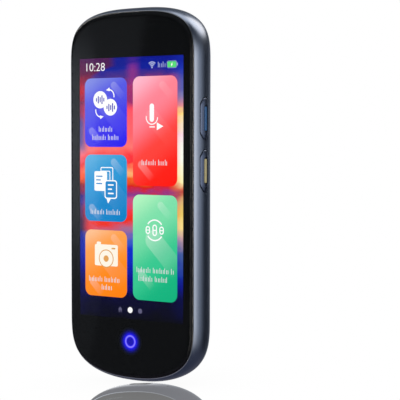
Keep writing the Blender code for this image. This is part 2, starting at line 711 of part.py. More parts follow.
def build_camera():
    flange_back = MESH_BACK
    flange_front = flange_back - CAMERA_FLANGE_THICKNESS
    window_back = THICKNESS - CAMERA_WINDOW_SINK
    seat = window_back - CAMERA_WINDOW_THICKNESS - LAYER_GAP
    inner = CAMERA_RING_RADIUS - CAMERA_RING_WALL
    flange = CAMERA_RING_RADIUS + CAMERA_FLANGE_WIDTH
    profile = (
        (CAMERA_RING_RADIUS, THICKNESS), (CAMERA_RING_RADIUS, flange_back), (flange, flange_back),
        (flange, flange_front), (inner - CAMERA_SEAT_WIDTH, flange_front),
        (inner - CAMERA_SEAT_WIDTH, seat), (inner, seat), (inner, THICKNESS - CAMERA_RING_CHAMFER),
        (inner + CAMERA_RING_CHAMFER, THICKNESS),
    )
    turned("camera_ring", "silver", profile, 0, GRILLE_HEIGHT, CAMERA_SIDES, closed=True)
    radius = inner - LAYER_GAP
    profile = ((radius, window_back - CAMERA_WINDOW_THICKNESS), (radius, window_back))
    turned("camera_window", "lens", profile, 0, GRILLE_HEIGHT, CAMERA_SIDES)

    barrel_back = flange_front - LAYER_GAP
    base_back = barrel_back - CAMERA_BARREL_HEIGHT
    square = rounded_rectangle(CAMERA_BASE_SIDE, CAMERA_BASE_SIDE, CAMERA_BASE_CORNER)
    round_points = [Vector(p).normalized() * CAMERA_BARREL_RADIUS for p in square]
    rings = [face_ring(square, 0, GRILLE_HEIGHT, depth) for depth in (CHIP_FRONT, base_back)]
    rings += [face_ring(round_points, 0, GRILLE_HEIGHT, depth) for depth in (base_back, barrel_back)]
    loft("camera_module", rings, "black_plastic")

    lens_front = barrel_back + LAYER_GAP
    profile = [(CAMERA_LENS_RADIUS, lens_front)]
    for share in LENS_SHARES:
        profile.append((CAMERA_LENS_RADIUS * math.sqrt(1 - share ** 2),
                        lens_front + CAMERA_LENS_HEIGHT * share))
    turned("camera_lens", "lens", profile, 0, GRILLE_HEIGHT, LENS_SIDES)


def shield_can(name, left, right, bottom, top):
    """A pressed lid, open towards its board."""
    middle = ((left + right) / 2, (bottom + top) / 2)
    back = CHIP_FRONT + CAN_HEIGHT
    outer = rounded_rectangle(right - left, top - bottom, CAN_CORNER)
    inner = rounded_rectangle(right - left - 2 * CAN_THICKNESS, top - bottom - 2 * CAN_THICKNESS,
                              CAN_CORNER - CAN_THICKNESS)
    rings = [
        face_ring(inner, *middle, back - CAN_THICKNESS), face_ring(inner, *middle, CHIP_FRONT),
        face_ring(outer, *middle, CHIP_FRONT), face_ring(outer, *middle, back),
    ]
    loft(name, rings, "steel")


def chip(name, left, right, bottom):
    """A chip under a shield can, set in from the can's sides and its lower edge."""
    bottom += CHIP_MARGIN
    block(name, "chip", left + CHIP_MARGIN, right - CHIP_MARGIN, bottom, bottom + CHIP_LENGTH,
          CHIP_FRONT, CHIP_FRONT + CHIP_THICKNESS, CAN_THICKNESS)


def build_boards():
    board = block("main_board", "board", BOARD_LEFT, BOARD_RIGHT, BOARD_BOTTOM, BOARD_TOP,
                  BOARD_FRONT, BOARD_BACK, BOARD_CORNER)
    lower = block("lower_board", "board", -LOWER_BOARD_HALF_WIDTH, LOWER_BOARD_HALF_WIDTH,
                  LOWER_BOARD_BOTTOM, LOWER_BOARD_TOP, BOARD_FRONT, LOWER_BOARD_BACK, BOARD_CORNER)
    sets = (
        (board, "main_board", board_screw_places(), BOARD_BACK),
        (lower, "lower_board", lower_board_screw_places(), LOWER_BOARD_BACK),
    )
    for item, name, places, back in sets:
        near, far = BOARD_FRONT - OVERRUN, back + OVERRUN
        cut(item, f"{name}_cutter", [screw_bore(x, z, near, far) for x, z in places])
        for number, (x, z) in enumerate(places, 1):
            screw(f"{name}_screw_{number}", x, z, back)

    screw_room = BOARD_SCREW_INSET + SCREW_HEAD_RADIUS + CAN_MARGIN
    bottom, top = BOARD_BOTTOM + screw_room, BOARD_TOP - screw_room
    left, right = BOARD_LEFT + CAN_MARGIN, -SPEAKER_WIDTH / 2 - CAN_SPACING
    shield_can("shield_can_left", left, right, bottom, top)
    chip("processor", left, right, bottom)
    bottom = CAMERA_TOP - CAMERA_BASE_SIDE
    left, right = CAMERA_BASE_SIDE / 2 + CAN_SPACING, BOARD_RIGHT - CAN_MARGIN
    shield_can("shield_can_right", left, right, bottom, top)
    chip("memory_chip", left, right, bottom)


def build_battery():
    block("battery", "battery", BOARD_LEFT, BOARD_RIGHT, BATTERY_BOTTOM, BATTERY_TOP,
          BOARD_FRONT, BATTERY_BACK, BATTERY_CORNER)
    block("battery_protection_board", "board", -PROTECTION_WIDTH / 2, PROTECTION_WIDTH / 2,
          PROTECTION_BOTTOM, PROTECTION_TOP, BOARD_FRONT, BOARD_FRONT + PROTECTION_THICKNESS)

    high = BOARD_FRONT + PROTECTION_THICKNESS - LAYER_GAP - FLEX_THICKNESS
    low = CHIP_FRONT + FLEX_THICKNESS / 2
    start = PROTECTION_TOP + LAYER_GAP
    path = ((start, high), (start + LAYER_GAP, high), (BOARD_BOTTOM + LEAD_LAP / 4, low),
            (BOARD_BOTTOM + LEAD_LAP, low))
    ribbon("battery_lead", "flex", LEAD_CENTRE, LEAD_WIDTH, path)

    low = LOWER_BOARD_BACK + LAYER_GAP + FLEX_THICKNESS / 2
    high = BATTERY_BACK + LAYER_GAP + FLEX_THICKNESS / 2
    end = CHIP_FRONT + FLEX_THICKNESS / 2
    path = (
        (LOWER_BOARD_TOP - BATTERY_SPACING, low), (LOWER_BOARD_TOP + BATTERY_SPACING / 4, low),
        (BATTERY_BOTTOM - BATTERY_SPACING / 4, high), (PROTECTION_TOP, high),
        (BOARD_BOTTOM + LAYER_GAP, end), (SPEAKER_BOTTOM - LOWER_FLEX_SPACING, end),
    )
    ribbon("lower_flex", "flex", 0, LOWER_FLEX_WIDTH, path)


def build_socket():
    def tube(inset, height):
        points = rounded_rectangle(SOCKET_WIDTH - 2 * inset, SOCKET_HEIGHT - 2 * inset,
                                   SOCKET_HEIGHT / 2 - inset - LAYER_GAP, FINE_CORNER_STEPS)
        return end_ring(points, 0, height, SOCKET_DEPTH)

    top = SOCKET_SINK + SOCKET_LENGTH
    rings = [tube(0, SOCKET_SINK), tube(0, top), tube(SOCKET_WALL, top),
             tube(SOCKET_WALL, SOCKET_SINK)]
    loft("usb_socket_shell", rings, "steel", closed=True)

    base = SOCKET_WALL + LAYER_GAP
    blade = rounded_rectangle(TONGUE_WIDTH, TONGUE_THICKNESS, LAYER_GAP, FINE_CORNER_STEPS)
    step = top - TONGUE_BASE_LENGTH
    rings = [tube(base, top), tube(base, step), end_ring(blade, 0, step, SOCKET_DEPTH),
             end_ring(blade, 0, SOCKET_SINK + TONGUE_SINK, SOCKET_DEPTH)]
    loft("usb_socket_tongue", rings, "black_plastic")


def build_microphones():
    left = MICROPHONE_CENTRE - MICROPHONE_WIDTH / 2
    right = MICROPHONE_CENTRE + MICROPHONE_WIDTH / 2
    front = LOWER_BOARD_BACK + LAYER_GAP
    bottom = LOWER_BOARD_BOTTOM + LAYER_GAP
    block("lower_microphone", "steel", left, right, bottom, bottom + MICROPHONE_LENGTH,
          front, front + MICROPHONE_THICKNESS, CAN_THICKNESS)
    top = upper_microphone_top()
    block("upper_microphone", "steel", left, right, top - MICROPHONE_LENGTH, top,
          BOARD_FRONT, BOARD_FRONT + MICROPHONE_THICKNESS, CAN_THICKNESS)


def build_aerial():
    back = BOARD_FRONT + CARRIER_THICKNESS
    block("aerial_carrier", "black_plastic", -CARRIER_HALF_WIDTH, CARRIER_HALF_WIDTH,
          CARRIER_BOTTOM, CARRIER_TOP, BOARD_FRONT, back, CARRIER_CORNER)
    half = CARRIER_HALF_WIDTH - AERIAL_MARGIN
    block("wifi_aerial", "flex", -half, half, CARRIER_BOTTOM + AERIAL_MARGIN,
          CARRIER_TOP - AERIAL_MARGIN, back + LAYER_GAP, back + LAYER_GAP + FLEX_THICKNESS)


def strip_shape(margin=0.0):
    return rounded_rectangle(STRIP_LENGTH + 2 * margin, STRIP_WIDTH + 2 * margin,
                             STRIP_WIDTH / 2 + margin - LAYER_GAP, FINE_CORNER_STEPS)


def build_key(place, strip_finish):
    height = KEY_HEIGHTS[place]
    axis = bpy.data.objects.new(f"{place}_key_axis", None)
    axis.location = (HALF_WIDTH, KEY_DEPTH - THICKNESS / 2, height)
    bpy.context.collection.objects.link(axis)

    face = HALF_WIDTH + KEY_PROUD
    cap_inner = face - KEY_CAP_THICKNESS
    cap = key_shape()
    crown = key_shape(-KEY_CHAMFER)
    bar_length = KEY_LENGTH + 2 * (CLEARANCE + EAR_LENGTH)
    bar = key_outline(bar_length, KEY_BAR_WIDTH, CLEARANCE, KEY_BAR_WIDTH / 2, LAYER_GAP)
    neck_width = KEY_BAR_WIDTH - 2 * CLEARANCE
    neck = key_outline(NECK_LENGTH, neck_width, CLEARANCE, neck_width / 2, LAYER_GAP)
    rings = [side_ring(points, x, height) for points, x in (
        (crown, face), (cap, face - KEY_CHAMFER), (cap, cap_inner))]
    rings += [side_ring(points, x, height, SWITCH_DEPTH) for points, x in (
        (neck, cap_inner), (neck, KEY_BAR_OUTER), (bar, KEY_BAR_OUTER), (bar, KEY_BAR_INNER))]
    key = loft(f"{place}_key_cap", rings, "dark_metal")
    floor = face + STRIP_PROUD - STRIP_THICKNESS
    groove = [side_ring(strip_shape(LAYER_GAP), x, height)
              for x in (floor - LAYER_GAP, face + OVERRUN)]
    cut(key, f"{place}_key_cutter", [groove])
    rings = [side_ring(strip_shape(), x, height) for x in (floor, face + STRIP_PROUD)]
    strip = loft(f"{place}_key_strip", rings, strip_finish)

    tail = SWITCH_FACE - PLUNGER_TAIL
    pin = circle(PLUNGER_RADIUS, PLUNGER_SIDES)
    rings = [side_ring(pin, x, height, SWITCH_DEPTH) for x in (tail, PLUNGER_TIP)]
    plunger = loft(f"{place}_switch_plunger", rings, "black_plastic")
    body = rounded_rectangle(SWITCH_LENGTH, SWITCH_WIDTH, SWITCH_CORNER)
    rings = [side_ring(body, x, height, SWITCH_DEPTH) for x in (SWITCH_BASE, SWITCH_FACE)]
    switch = loft(f"{place}_switch", rings, "steel")
    bore = [side_ring(circle(PLUNGER_RADIUS + LAYER_GAP, PLUNGER_SIDES), x, height, SWITCH_DEPTH)
            for x in (tail - KEY_TRAVEL - LAYER_GAP, SWITCH_FACE + OVERRUN)]
    cut(switch, f"{place}_switch_cutter", [bore])

    for item in (key, strip, plunger):
        item.parent = axis
        item.matrix_parent_inverse = Matrix.Translation(-axis.location)


def build_key_board():
    length = KEY_LENGTH + KEY_SPACING + SWITCH_LENGTH + 2 * KEY_BOARD_MARGIN
    points = rounded_rectangle(length, KEY_BOARD_WIDTH, SWITCH_CORNER)
    middle = (UPPER_KEY_HEIGHT + LOWER_KEY_HEIGHT) / 2
    depth = PLATE_BACK + LAYER_GAP + KEY_BOARD_WIDTH / 2
    rings = [side_ring(points, x, middle, depth)
             for x in (KEY_BOARD_FACE - KEY_BOARD_THICKNESS, KEY_BOARD_FACE)]
    loft("key_switch_board", rings, "flex")


def main():
    clear_scene()
    build_glass()
    build_display()
    build_touch_ring()
    build_frame()
    build_plate()
    build_boards()
    build_battery()
    build_socket()
    build_microphones()
    build_aerial()
    build_speaker()
    build_camera()
    build_cover()
    build_key("upper", "blue_inlay")
    build_key("lower", "yellow_inlay")
    build_key_board()


main()
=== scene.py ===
"""Dresses the handheld translator: its glass, display, painted body, side keys, camera and studio.

Metres, +Z up. The screen faces -Y and the keys face +X. A depth counts back from the front of
the cover glass, so a depth d lies at y = d - thickness / 2.
"""

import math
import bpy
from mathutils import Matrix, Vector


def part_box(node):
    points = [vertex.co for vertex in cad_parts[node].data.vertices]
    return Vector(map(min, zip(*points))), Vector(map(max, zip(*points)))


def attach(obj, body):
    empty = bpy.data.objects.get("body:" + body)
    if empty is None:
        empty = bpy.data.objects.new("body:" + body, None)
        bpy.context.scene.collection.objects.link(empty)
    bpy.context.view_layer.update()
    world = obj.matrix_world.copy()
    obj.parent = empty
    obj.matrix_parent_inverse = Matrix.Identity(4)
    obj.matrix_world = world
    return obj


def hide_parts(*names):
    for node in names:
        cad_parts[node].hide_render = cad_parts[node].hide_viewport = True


bl_info = {
    "name": "Handheld Translator",
    "version": (1, 0, 0),
    "blender": (4, 5, 0),
    "location": "3D View > Sidebar > Translator",
    "description": "Builds a handheld translator with a lit display, a painted metal body and side keys",
    "category": "Add Mesh",
}

import bmesh
import bpy
from bpy.props import FloatProperty, FloatVectorProperty, IntProperty, PointerProperty
from mathutils import Matrix, Vector

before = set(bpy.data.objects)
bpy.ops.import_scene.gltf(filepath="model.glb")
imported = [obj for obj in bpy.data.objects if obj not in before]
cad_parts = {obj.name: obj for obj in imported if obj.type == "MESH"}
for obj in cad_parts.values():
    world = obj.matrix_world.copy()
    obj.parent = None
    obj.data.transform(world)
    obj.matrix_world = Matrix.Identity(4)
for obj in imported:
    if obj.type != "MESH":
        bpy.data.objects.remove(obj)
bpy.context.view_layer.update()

MM = 0.001
BODY_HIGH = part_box("side_frame")[1]
PANEL_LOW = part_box("display_panel")[0]


def hex_colour(value):
    """The linear red, green, blue and alpha of an sRGB hex colour."""
    channels = [int(value[k:k + 2], 16) / 255 for k in (1, 3, 5)]
    return (*(c / 12.92 if c <= 0.04045 else ((c + 0.055) / 1.055) ** 2.4 for c in channels), 1)


def length(name, default, text):
    return FloatProperty(name=name, description=text, default=default, unit="LENGTH", precision=5)


def colour(name, default, text):
    return FloatVectorProperty(name=name, description=text, default=hex_colour(default)[:3],
                               size=3, subtype="COLOR", min=0, max=1)


class TranslatorBody(bpy.types.PropertyGroup):
    """Sizes of the body's outline and of its rounded edges."""

    half_width: length("Half width", BODY_HIGH.x, "Half of the body's greatest width")
    height: length("Height", BODY_HIGH.z, "Height of the body")
    thickness: length("Thickness", 0.0132, "Depth of the body from glass to back")
    top_cap: length("Top curve", 0.0206, "Height over which the upper end curves in")
    bottom_cap: length("Bottom curve", 0.0242, "Height over which the lower end curves in")
    front_inset: length("Front rounding inset", 0.0038, "How far the front rounding comes in")
    front_depth: length("Front rounding depth", 0.00585, "How deep the front rounding is")
    rear_inset: length("Rear rounding inset", 0.0062, "How far the rear rounding comes in")
    rear_depth: length("Rear rounding depth", 0.00735, "How deep the rear rounding is")
    glass_inset: length("Glass inset", 0.0017, "How far the glass lies inside the outline")
    glass_thickness: length("Glass thickness", 0.0010, "Thickness of the cover glass")
    wall: length("Wall", 0.0022, "Wall of the side frame")
    seam_depth: length("Seam depth", 0.01085, "Depth of the joint between frame and rear cover")
    seam_gap: length("Seam gap", 0.0003, "Width of the joint between frame and rear cover")


class TranslatorScreen(bpy.types.PropertyGroup):
    """Sizes of the lit display and of the touch ring under it."""

    half_width: length("Half width", 0.0223, "Half of the lit width")
    bottom: length("Bottom", 0.0223, "Height of the lit area's lower edge")
    top: length("Top", 0.1140, "Height of the lit area's upper edge")
    tile_corner: length("Tile corner", 0.0027, "Corner radius of the tiles")
    touch_height: length("Touch ring height", 0.0144, "Height of the touch ring's middle")
    touch_radius: length("Touch ring radius", 0.00197, "Radius of the touch ring's bright line")
    glow: FloatProperty(name="Glow", description="Strength of the lit display", default=1.06, min=0)


class TranslatorKeys(bpy.types.PropertyGroup):
    """Sizes of the two side keys."""

    upper_height: length("Upper key", 0.09245, "Height of the upper key's middle")
    lower_height: length("Lower key", 0.07470, "Height of the lower key's middle")
    depth: length("Depth", 0.00565, "Depth of the keys' middle")
    length: length("Length", 0.0141, "Length of a key")
    width: length("Width", 0.0052, "Width of a key")
    taper: length("Taper", 0.0021, "Length of a key's tapered end")
    tip_width: length("Tip width", 0.0018, "Width of a key's flat tip")
    proud: length("Proud", 0.00035, "How far a key stands out of the side")
    strip_length: length("Strip length", 0.0082, "Length of a key's coloured strip")
    strip_width: length("Strip width", 0.0012, "Width of a key's coloured strip")


class TranslatorGrille(bpy.types.PropertyGroup):
    """Sizes of the speaker grille and of the camera in its middle."""

    height: length("Height", 0.1024, "Height of the grille's middle")
    hole_radius: length("Hole radius", 0.00043, "Radius of a grille hole")
    hole_sides: IntProperty(name="Hole sides", description="Roundness of a hole", default=16, min=6)
    ring_radius: length("Camera ring radius", 0.0049, "Outer radius of the camera ring")
    ring_wall: length("Camera ring wall", 0.0010, "Width of the camera ring's face")
    window_sink: length("Window sink", 0.0003, "How far the camera window lies under its ring")


class TranslatorColours(bpy.types.PropertyGroup):
    """Colours of the finishes that show most."""

    body: colour("Body paint", "#5f6b80", "Slate blue paint of the frame and the rear cover")
    key: colour("Key", "#525d75", "Anodised side keys")
    upper_strip: colour("Upper strip", "#2b5787", "Strip on the upper key")
    lower_strip: colour("Lower strip", "#aea47a", "Strip on the lower key")
    touch: colour("Touch ring", "#8070ff", "Light of the touch ring")
    backdrop: colour("Backdrop", "#ffffff", "Floor and surroundings")


GROUPS = {
    "translator_body": TranslatorBody,
    "translator_screen": TranslatorScreen,
    "translator_keys": TranslatorKeys,
    "translator_grille": TranslatorGrille,
    "translator_colours": TranslatorColours,
}


def settings(name):
    return getattr(bpy.context.scene, f"translator_{name}")


# Nodes


def add_node(tree, kind, links=None, **values):
    """Add a node, set its properties or its sockets by name or number, and link its sockets."""
    node = tree.nodes.new(kind)
    for key, value in values.items():
        if hasattr(node, key):
            setattr(node, key, value)
    for key, value in (links or {}).items():
        if isinstance(value, bpy.types.NodeSocket):
            tree.links.new(value, node.inputs[key])
        else:
            node.inputs[key].default_value = value
    return node


def start_material(name):
    """A material with an empty tree."""
    material = bpy.data.materials.new(name)
    material.use_nodes = True
    material.node_tree.nodes.clear()
    return material, material.node_tree


def finish_material(material, kind, sockets):
    """Add the material's shader and its output."""
    tree = material.node_tree
    output = tree.nodes.new("ShaderNodeOutputMaterial")
    tree.links.new(add_node(tree, kind, sockets).outputs[0], output.inputs["Surface"])
    return material


def math_node(tree, operation, *inputs, clamp=False):
    return add_node(tree, "ShaderNodeMath", dict(enumerate(inputs)), operation=operation,
                    use_clamp=clamp).outputs[0]


def ramp(tree, factor, stops, interpolation="LINEAR"):
    """A colour ramp with (place, hex colour) stops."""
    node = add_node(tree, "ShaderNodeValToRGB", {"Fac": factor})
    node.color_ramp.interpolation = interpolation
    points = node.color_ramp.elements
    while len(points) > 1:
        points.remove(points[-1])
    for k, (place, value) in enumerate(stops):
        point = points[0] if k == 0 else points.new(place)
        point.position = place
        point.color = hex_colour(value)
    return node.outputs["Color"]


def mix_colours(tree, factor, first, second):
    """Mix two colours, each a socket or a linear colour."""
    node = add_node(tree, "ShaderNodeMix", data_type="RGBA")
    for place, value in ((0, factor), (6, first), (7, second)):
        if isinstance(value, bpy.types.NodeSocket):
            tree.links.new(value, node.inputs[place])
        else:
            node.inputs[place].default_value = value
    return node.outputs[2]


def smooth_step(tree, value, start, end, first=0.0, last=1.0):
    return add_node(tree, "ShaderNodeMapRange", {0: value, 1: start, 2: end, 3: first, 4: last},
                    interpolation_type="SMOOTHSTEP").outputs[0]


def place_millimetres(tree):
    """Object coordinates in millimetres, as (x, y, z) sockets and the vector."""
    place = add_node(tree, "ShaderNodeTexCoord").outputs["Object"]
    vector = add_node(tree, "ShaderNodeVectorMath", {0: place, "Scale": 1 / MM},
                      operation="SCALE").outputs[0]
    split = add_node(tree, "ShaderNodeSeparateXYZ", {0: vector})
    return split.outputs["X"], split.outputs["Y"], split.outputs["Z"], vector


def principled(name, base, roughness, metallic=0.0, grain=None, mottle=0.0, **sockets):
    """A Principled material: its grain is (size in mm, bump height in mm), its mottle a share of tone."""
    material, tree = start_material(name)
    _, _, _, place = place_millimetres(tree)
    links = {"Base Color": hex_colour(base) if isinstance(base, str) else base,
             "Roughness": roughness, "Metallic": metallic}
    if mottle:
        noise = add_node(tree, "ShaderNodeTexNoise",
                         {"Vector": place, "Scale": 0.35, "Detail": 4.0}).outputs[0]
        spread = add_node(tree, "ShaderNodeMapRange", {
            0: noise, 1: 0.25, 2: 0.75, 3: roughness * (1 - mottle), 4: roughness * (1 + mottle)})
        links["Roughness"] = spread.outputs[0]
        tone = add_node(tree, "ShaderNodeMapRange", {0: noise, 1: 0.25, 2: 0.75,
                                                     3: 1 - mottle / 2, 4: 1 + mottle / 2})
        first = links["Base Color"]
        links["Base Color"] = add_node(tree, "ShaderNodeVectorMath", {
            0: first[:3] if not isinstance(first, bpy.types.NodeSocket) else first,
            "Scale": tone.outputs[0]}, operation="SCALE").outputs[0]
    if grain:
        size, height = grain
        noise = add_node(tree, "ShaderNodeTexNoise",
                         {"Vector": place, "Scale": 1 / size, "Detail": 2.0}).outputs[0]
        links["Normal"] = add_node(tree, "ShaderNodeBump", {
            "Height": noise, "Distance": height * MM, "Strength": 1.0}).outputs[0]
    links.update(sockets)
    return finish_material(material, "ShaderNodeBsdfPrincipled", links)


# Meshes


def deselect():
    if bpy.context.object and bpy.context.object.mode != "OBJECT":
        bpy.ops.object.mode_set(mode="OBJECT")
    bpy.ops.object.select_all(action="DESELECT")


def sweep(name, rings, closed=False):
    """Extrude a circle from ring to ring of points, capped at both ends or closed on itself."""
    deselect()
    count = len(rings[0])
    bpy.ops.mesh.primitive_circle_add(vertices=count, radius=0.01,
                                      fill_type="NOTHING" if closed else "NGON")
    piece = bpy.context.object
    piece.name = piece.data.name = name
    order = piece.data.attributes.new("order", "INT", "POINT")
    order.data.foreach_set("value", range(count))
    bpy.ops.object.mode_set(mode="EDIT")
    bpy.ops.mesh.select_mode(type="VERT")
    bpy.ops.mesh.select_all(action="SELECT")
    for k, ring in enumerate([*rings, rings[0]] if closed else rings):
        if k:
            bpy.ops.mesh.extrude_region_move()
        mesh = bmesh.from_edit_mesh(piece.data)
        layer = mesh.verts.layers.int["order"]
        for vertex in mesh.verts:
            if vertex.select:
                vertex.co = ring[vertex[layer]]
        bmesh.update_edit_mesh(piece.data)
    bpy.ops.mesh.select_all(action="SELECT")
    if closed:
        bpy.ops.mesh.remove_doubles(threshold=1e-7)
    bpy.ops.mesh.normals_make_consistent(inside=False)
    bpy.ops.object.mode_set(mode="OBJECT")
    piece.data.attributes.remove(piece.data.attributes["order"])
    return piece


def smooth(piece, angle=30):
    deselect()
    piece.select_set(True)
    bpy.context.view_layer.objects.active = piece
    bpy.ops.object.shade_smooth_by_angle(angle=math.radians(angle))


def apply_modifier(piece, kind, **values):
    """Add a modifier, set it and apply it."""
    deselect()
    piece.select_set(True)
    bpy.context.view_layer.objects.active = piece
    modifier = piece.modifiers.new(kind, kind)
    for key, value in values.items():
        setattr(modifier, key, value)
    bpy.ops.object.modifier_apply(modifier=modifier.name)


def join(name, pieces):
    """Join pieces into one named object."""
    deselect()
    for piece in pieces:
        piece.select_set(True)
    bpy.context.view_layer.objects.active = pieces[0]
    if len(pieces) > 1:
        bpy.ops.object.join()
    pieces[0].name = pieces[0].data.name = name
    return pieces[0]


def cut(piece, cutters):
    """Take joined cutters out of a piece."""
    tool = join(f"{piece.name}_tool", cutters)
    apply_modifier(piece, "BOOLEAN", operation="DIFFERENCE", solver="EXACT", object=tool)
    bpy.data.objects.remove(tool, do_unlink=True)


def copy_piece(piece, move):
    """A copy with its own mesh, moved."""
    copy = piece.copy()
    copy.data = piece.data.copy()
    copy.data.transform(Matrix.Translation(move))
    bpy.context.collection.objects.link(copy)
    return copy


def dress(piece, material, body="body", replaces=()):
    """Give a piece its material and its body, and hide the nodes it stands for."""
    piece.data.materials.clear()
    piece.data.materials.append(material)
    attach(piece, body)
    if replaces:
        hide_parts(*replaces)
    return piece


# Outlines of the body


CAP_STEPS = 40
CAP_EASE = 0.8
TOP_POWERS = (3.05, 3.40)
BOTTOM_POWERS = (2.31, 3.44)


def cap_quarter(centre, height, powers, upwards):
    """Points and outward normals of one end's right half, from the side to the middle."""
    half_width = settings("body").half_width
    side_power, end_power = powers
    result = []
    for k in range(CAP_STEPS + 1):
        share = k / CAP_STEPS
        turn = (share - CAP_EASE * math.sin(2 * math.pi * share) / (2 * math.pi)) * math.pi / 2
        across = max(math.cos(turn), 0) ** (2 / side_power)
        along = math.sin(turn) ** (2 / end_power)
        normal = Vector((side_power * across ** (side_power - 1) / half_width,
                         upwards * end_power * along ** (end_power - 1) / height)).normalized()
        result.append((Vector((half_width * across, centre + upwards * height * along)), normal))
    return result


def body_outline():
    """The widest outline with its normals, once round from the lower end's middle."""
    body = settings("body")
    top = cap_quarter(body.height - body.top_cap, body.top_cap, TOP_POWERS, 1)
    bottom = cap_quarter(body.bottom_cap, body.bottom_cap, BOTTOM_POWERS, -1)
    right = list(reversed(bottom)) + top
    flip = Vector((-1, 1))
    return right + [(point * flip, normal * flip) for point, normal in reversed(right[1:-1])]


def outline_ring(inset, depth):
    """The outline moved inwards, as points at one depth."""
    y = depth - settings("body").thickness / 2
    return [Vector((p.x - n.x * inset, y, p.y - n.y * inset)) for p, n in body_outline()]


EDGE_POWER = 2.3


def edge_inset(depth):
    """How far the outer surface lies inside the widest outline at a depth."""
    body = settings("body")
    if depth < body.front_depth:
        inset, share = body.front_inset, 1 - depth / body.front_depth
    else:
        inset, share = body.rear_inset, min(1, 1 - (body.thickness - depth) / body.rear_depth)
    return inset * (1 - max(0, 1 - max(0, share) ** EDGE_POWER) ** (1 / EDGE_POWER))


def front_depth(inset):
    """The depth at which the front rounding reaches an inset."""
    body = settings("body")
    rest = 1 - inset / body.front_inset
    return body.front_depth * (1 - (1 - rest ** EDGE_POWER) ** (1 / EDGE_POWER))


def surface_rings(start, end, steps, power=1):
    """Rings of the outer surface between two depths, closer near the end where power is over 1."""
    depths = [end + (start - end) * (1 - k / steps) ** power for k in range(steps + 1)]
    return [outline_ring(edge_inset(depth), depth) for depth in depths]


def rounded_rectangle(width, height, radius, steps=8):
    """Points (a, b) of a rectangle with round corners about its centre."""
    points = []
    for turn, (side_a, side_b) in enumerate(((1, 1), (-1, 1), (-1, -1), (1, -1))):
        centre = (side_a * (width / 2 - radius), side_b * (height / 2 - radius))
        for k in range(steps + 1):
            angle = (turn + k / steps) * math.pi / 2
            points.append((centre[0] + radius * math.cos(angle),
                           centre[1] + radius * math.sin(angle)))
    return points


def circle(radius, sides):
    return [(radius * math.cos(2 * math.pi * k / sides), radius * math.sin(2 * math.pi * k / sides))
            for k in range(sides)]


def face_ring(points, x, z, depth):
    """Points (a, b) laid across the body, facing front or back."""
    y = depth - settings("body").thickness / 2
    return [Vector((x + a, y, z + b)) for a, b in points]


def side_ring(points, x, z, depth):
    """Points (a, b) laid on the right side, a along the body and b in depth."""
    y = depth - settings("body").thickness / 2
    return [Vector((x, y + b, z + a)) for a, b in points]


def end_ring(points, x, y, z):
    """Points (a, b) laid level, facing up or down."""
    return [Vector((x + a, y + b, z)) for a, b in points]


def turned(name, profile, x, z, sides=64, closed=False):
    """A round piece from its (radius, depth) profile, on an axis from front to back."""
    return sweep(name, [face_ring(circle(r, sides), x, z, d) for r, d in profile], closed)


# Glass and display


GLASS_BACK_GAP = 0.02 * MM
PRINT_THICKNESS = 0.04 * MM
LAYER = 0.02 * MM
LAYER_STEP = 0.03 * MM
GLASS_EDGE_STEPS = 14
PRINT_MARGIN = 0.00015
WINDOW_CORNER = 0.0003
# How far the picture's bands of colour wander up and down, in millimetres
WAVE_HEIGHT = 13


def glass_material():
    """Coated cover glass: clear and smooth, with the weak reflections of an anti-glare coating."""
    return principled("coated_cover_glass", "#ffffff", 0.03, **{
        "Transmission Weight": 1.0, "IOR": 1.37})


def print_material():
    """Black screen print on the glass's back: a flat soft black with a faint brown tone."""
    return principled("black_screen_print", "#060708", 0.6, grain=(0.3, 0.002), mottle=0.1,
                      **{"Specular IOR Level": 0.0})


class TRANSLATOR_OT_glass(bpy.types.Operator):
    """Build the cover glass with its curved edge and the black print behind it"""

    bl_idname = "translator.glass"
    bl_label = "Cover glass"

    def execute(self, context):
        body, screen = settings("body"), settings("screen")
        edge = front_depth(body.glass_inset)
        rings = [outline_ring(body.glass_inset, body.glass_thickness)]
        rings += surface_rings(edge, 0, GLASS_EDGE_STEPS, power=2)
        glass = sweep("glass", rings)
        smooth(glass)
        dress(glass, glass_material(), replaces=["cover_glass"])

        front = body.glass_thickness + GLASS_BACK_GAP
        back = front + PRINT_THICKNESS
        outer = [outline_ring(body.glass_inset + PRINT_MARGIN, depth) for depth in (back, front)]
        cover = sweep("glass_print", outer)
        middle = (screen.top + screen.bottom) / 2
        window = rounded_rectangle(2 * screen.half_width, screen.top - screen.bottom, WINDOW_CORNER, 3)
        reach = (front - PRINT_THICKNESS, back + PRINT_THICKNESS)
        cut(cover, [sweep("window", [face_ring(window, 0, middle, d) for d in reach])])
        dress(cover, print_material())
        return {"FINISHED"}


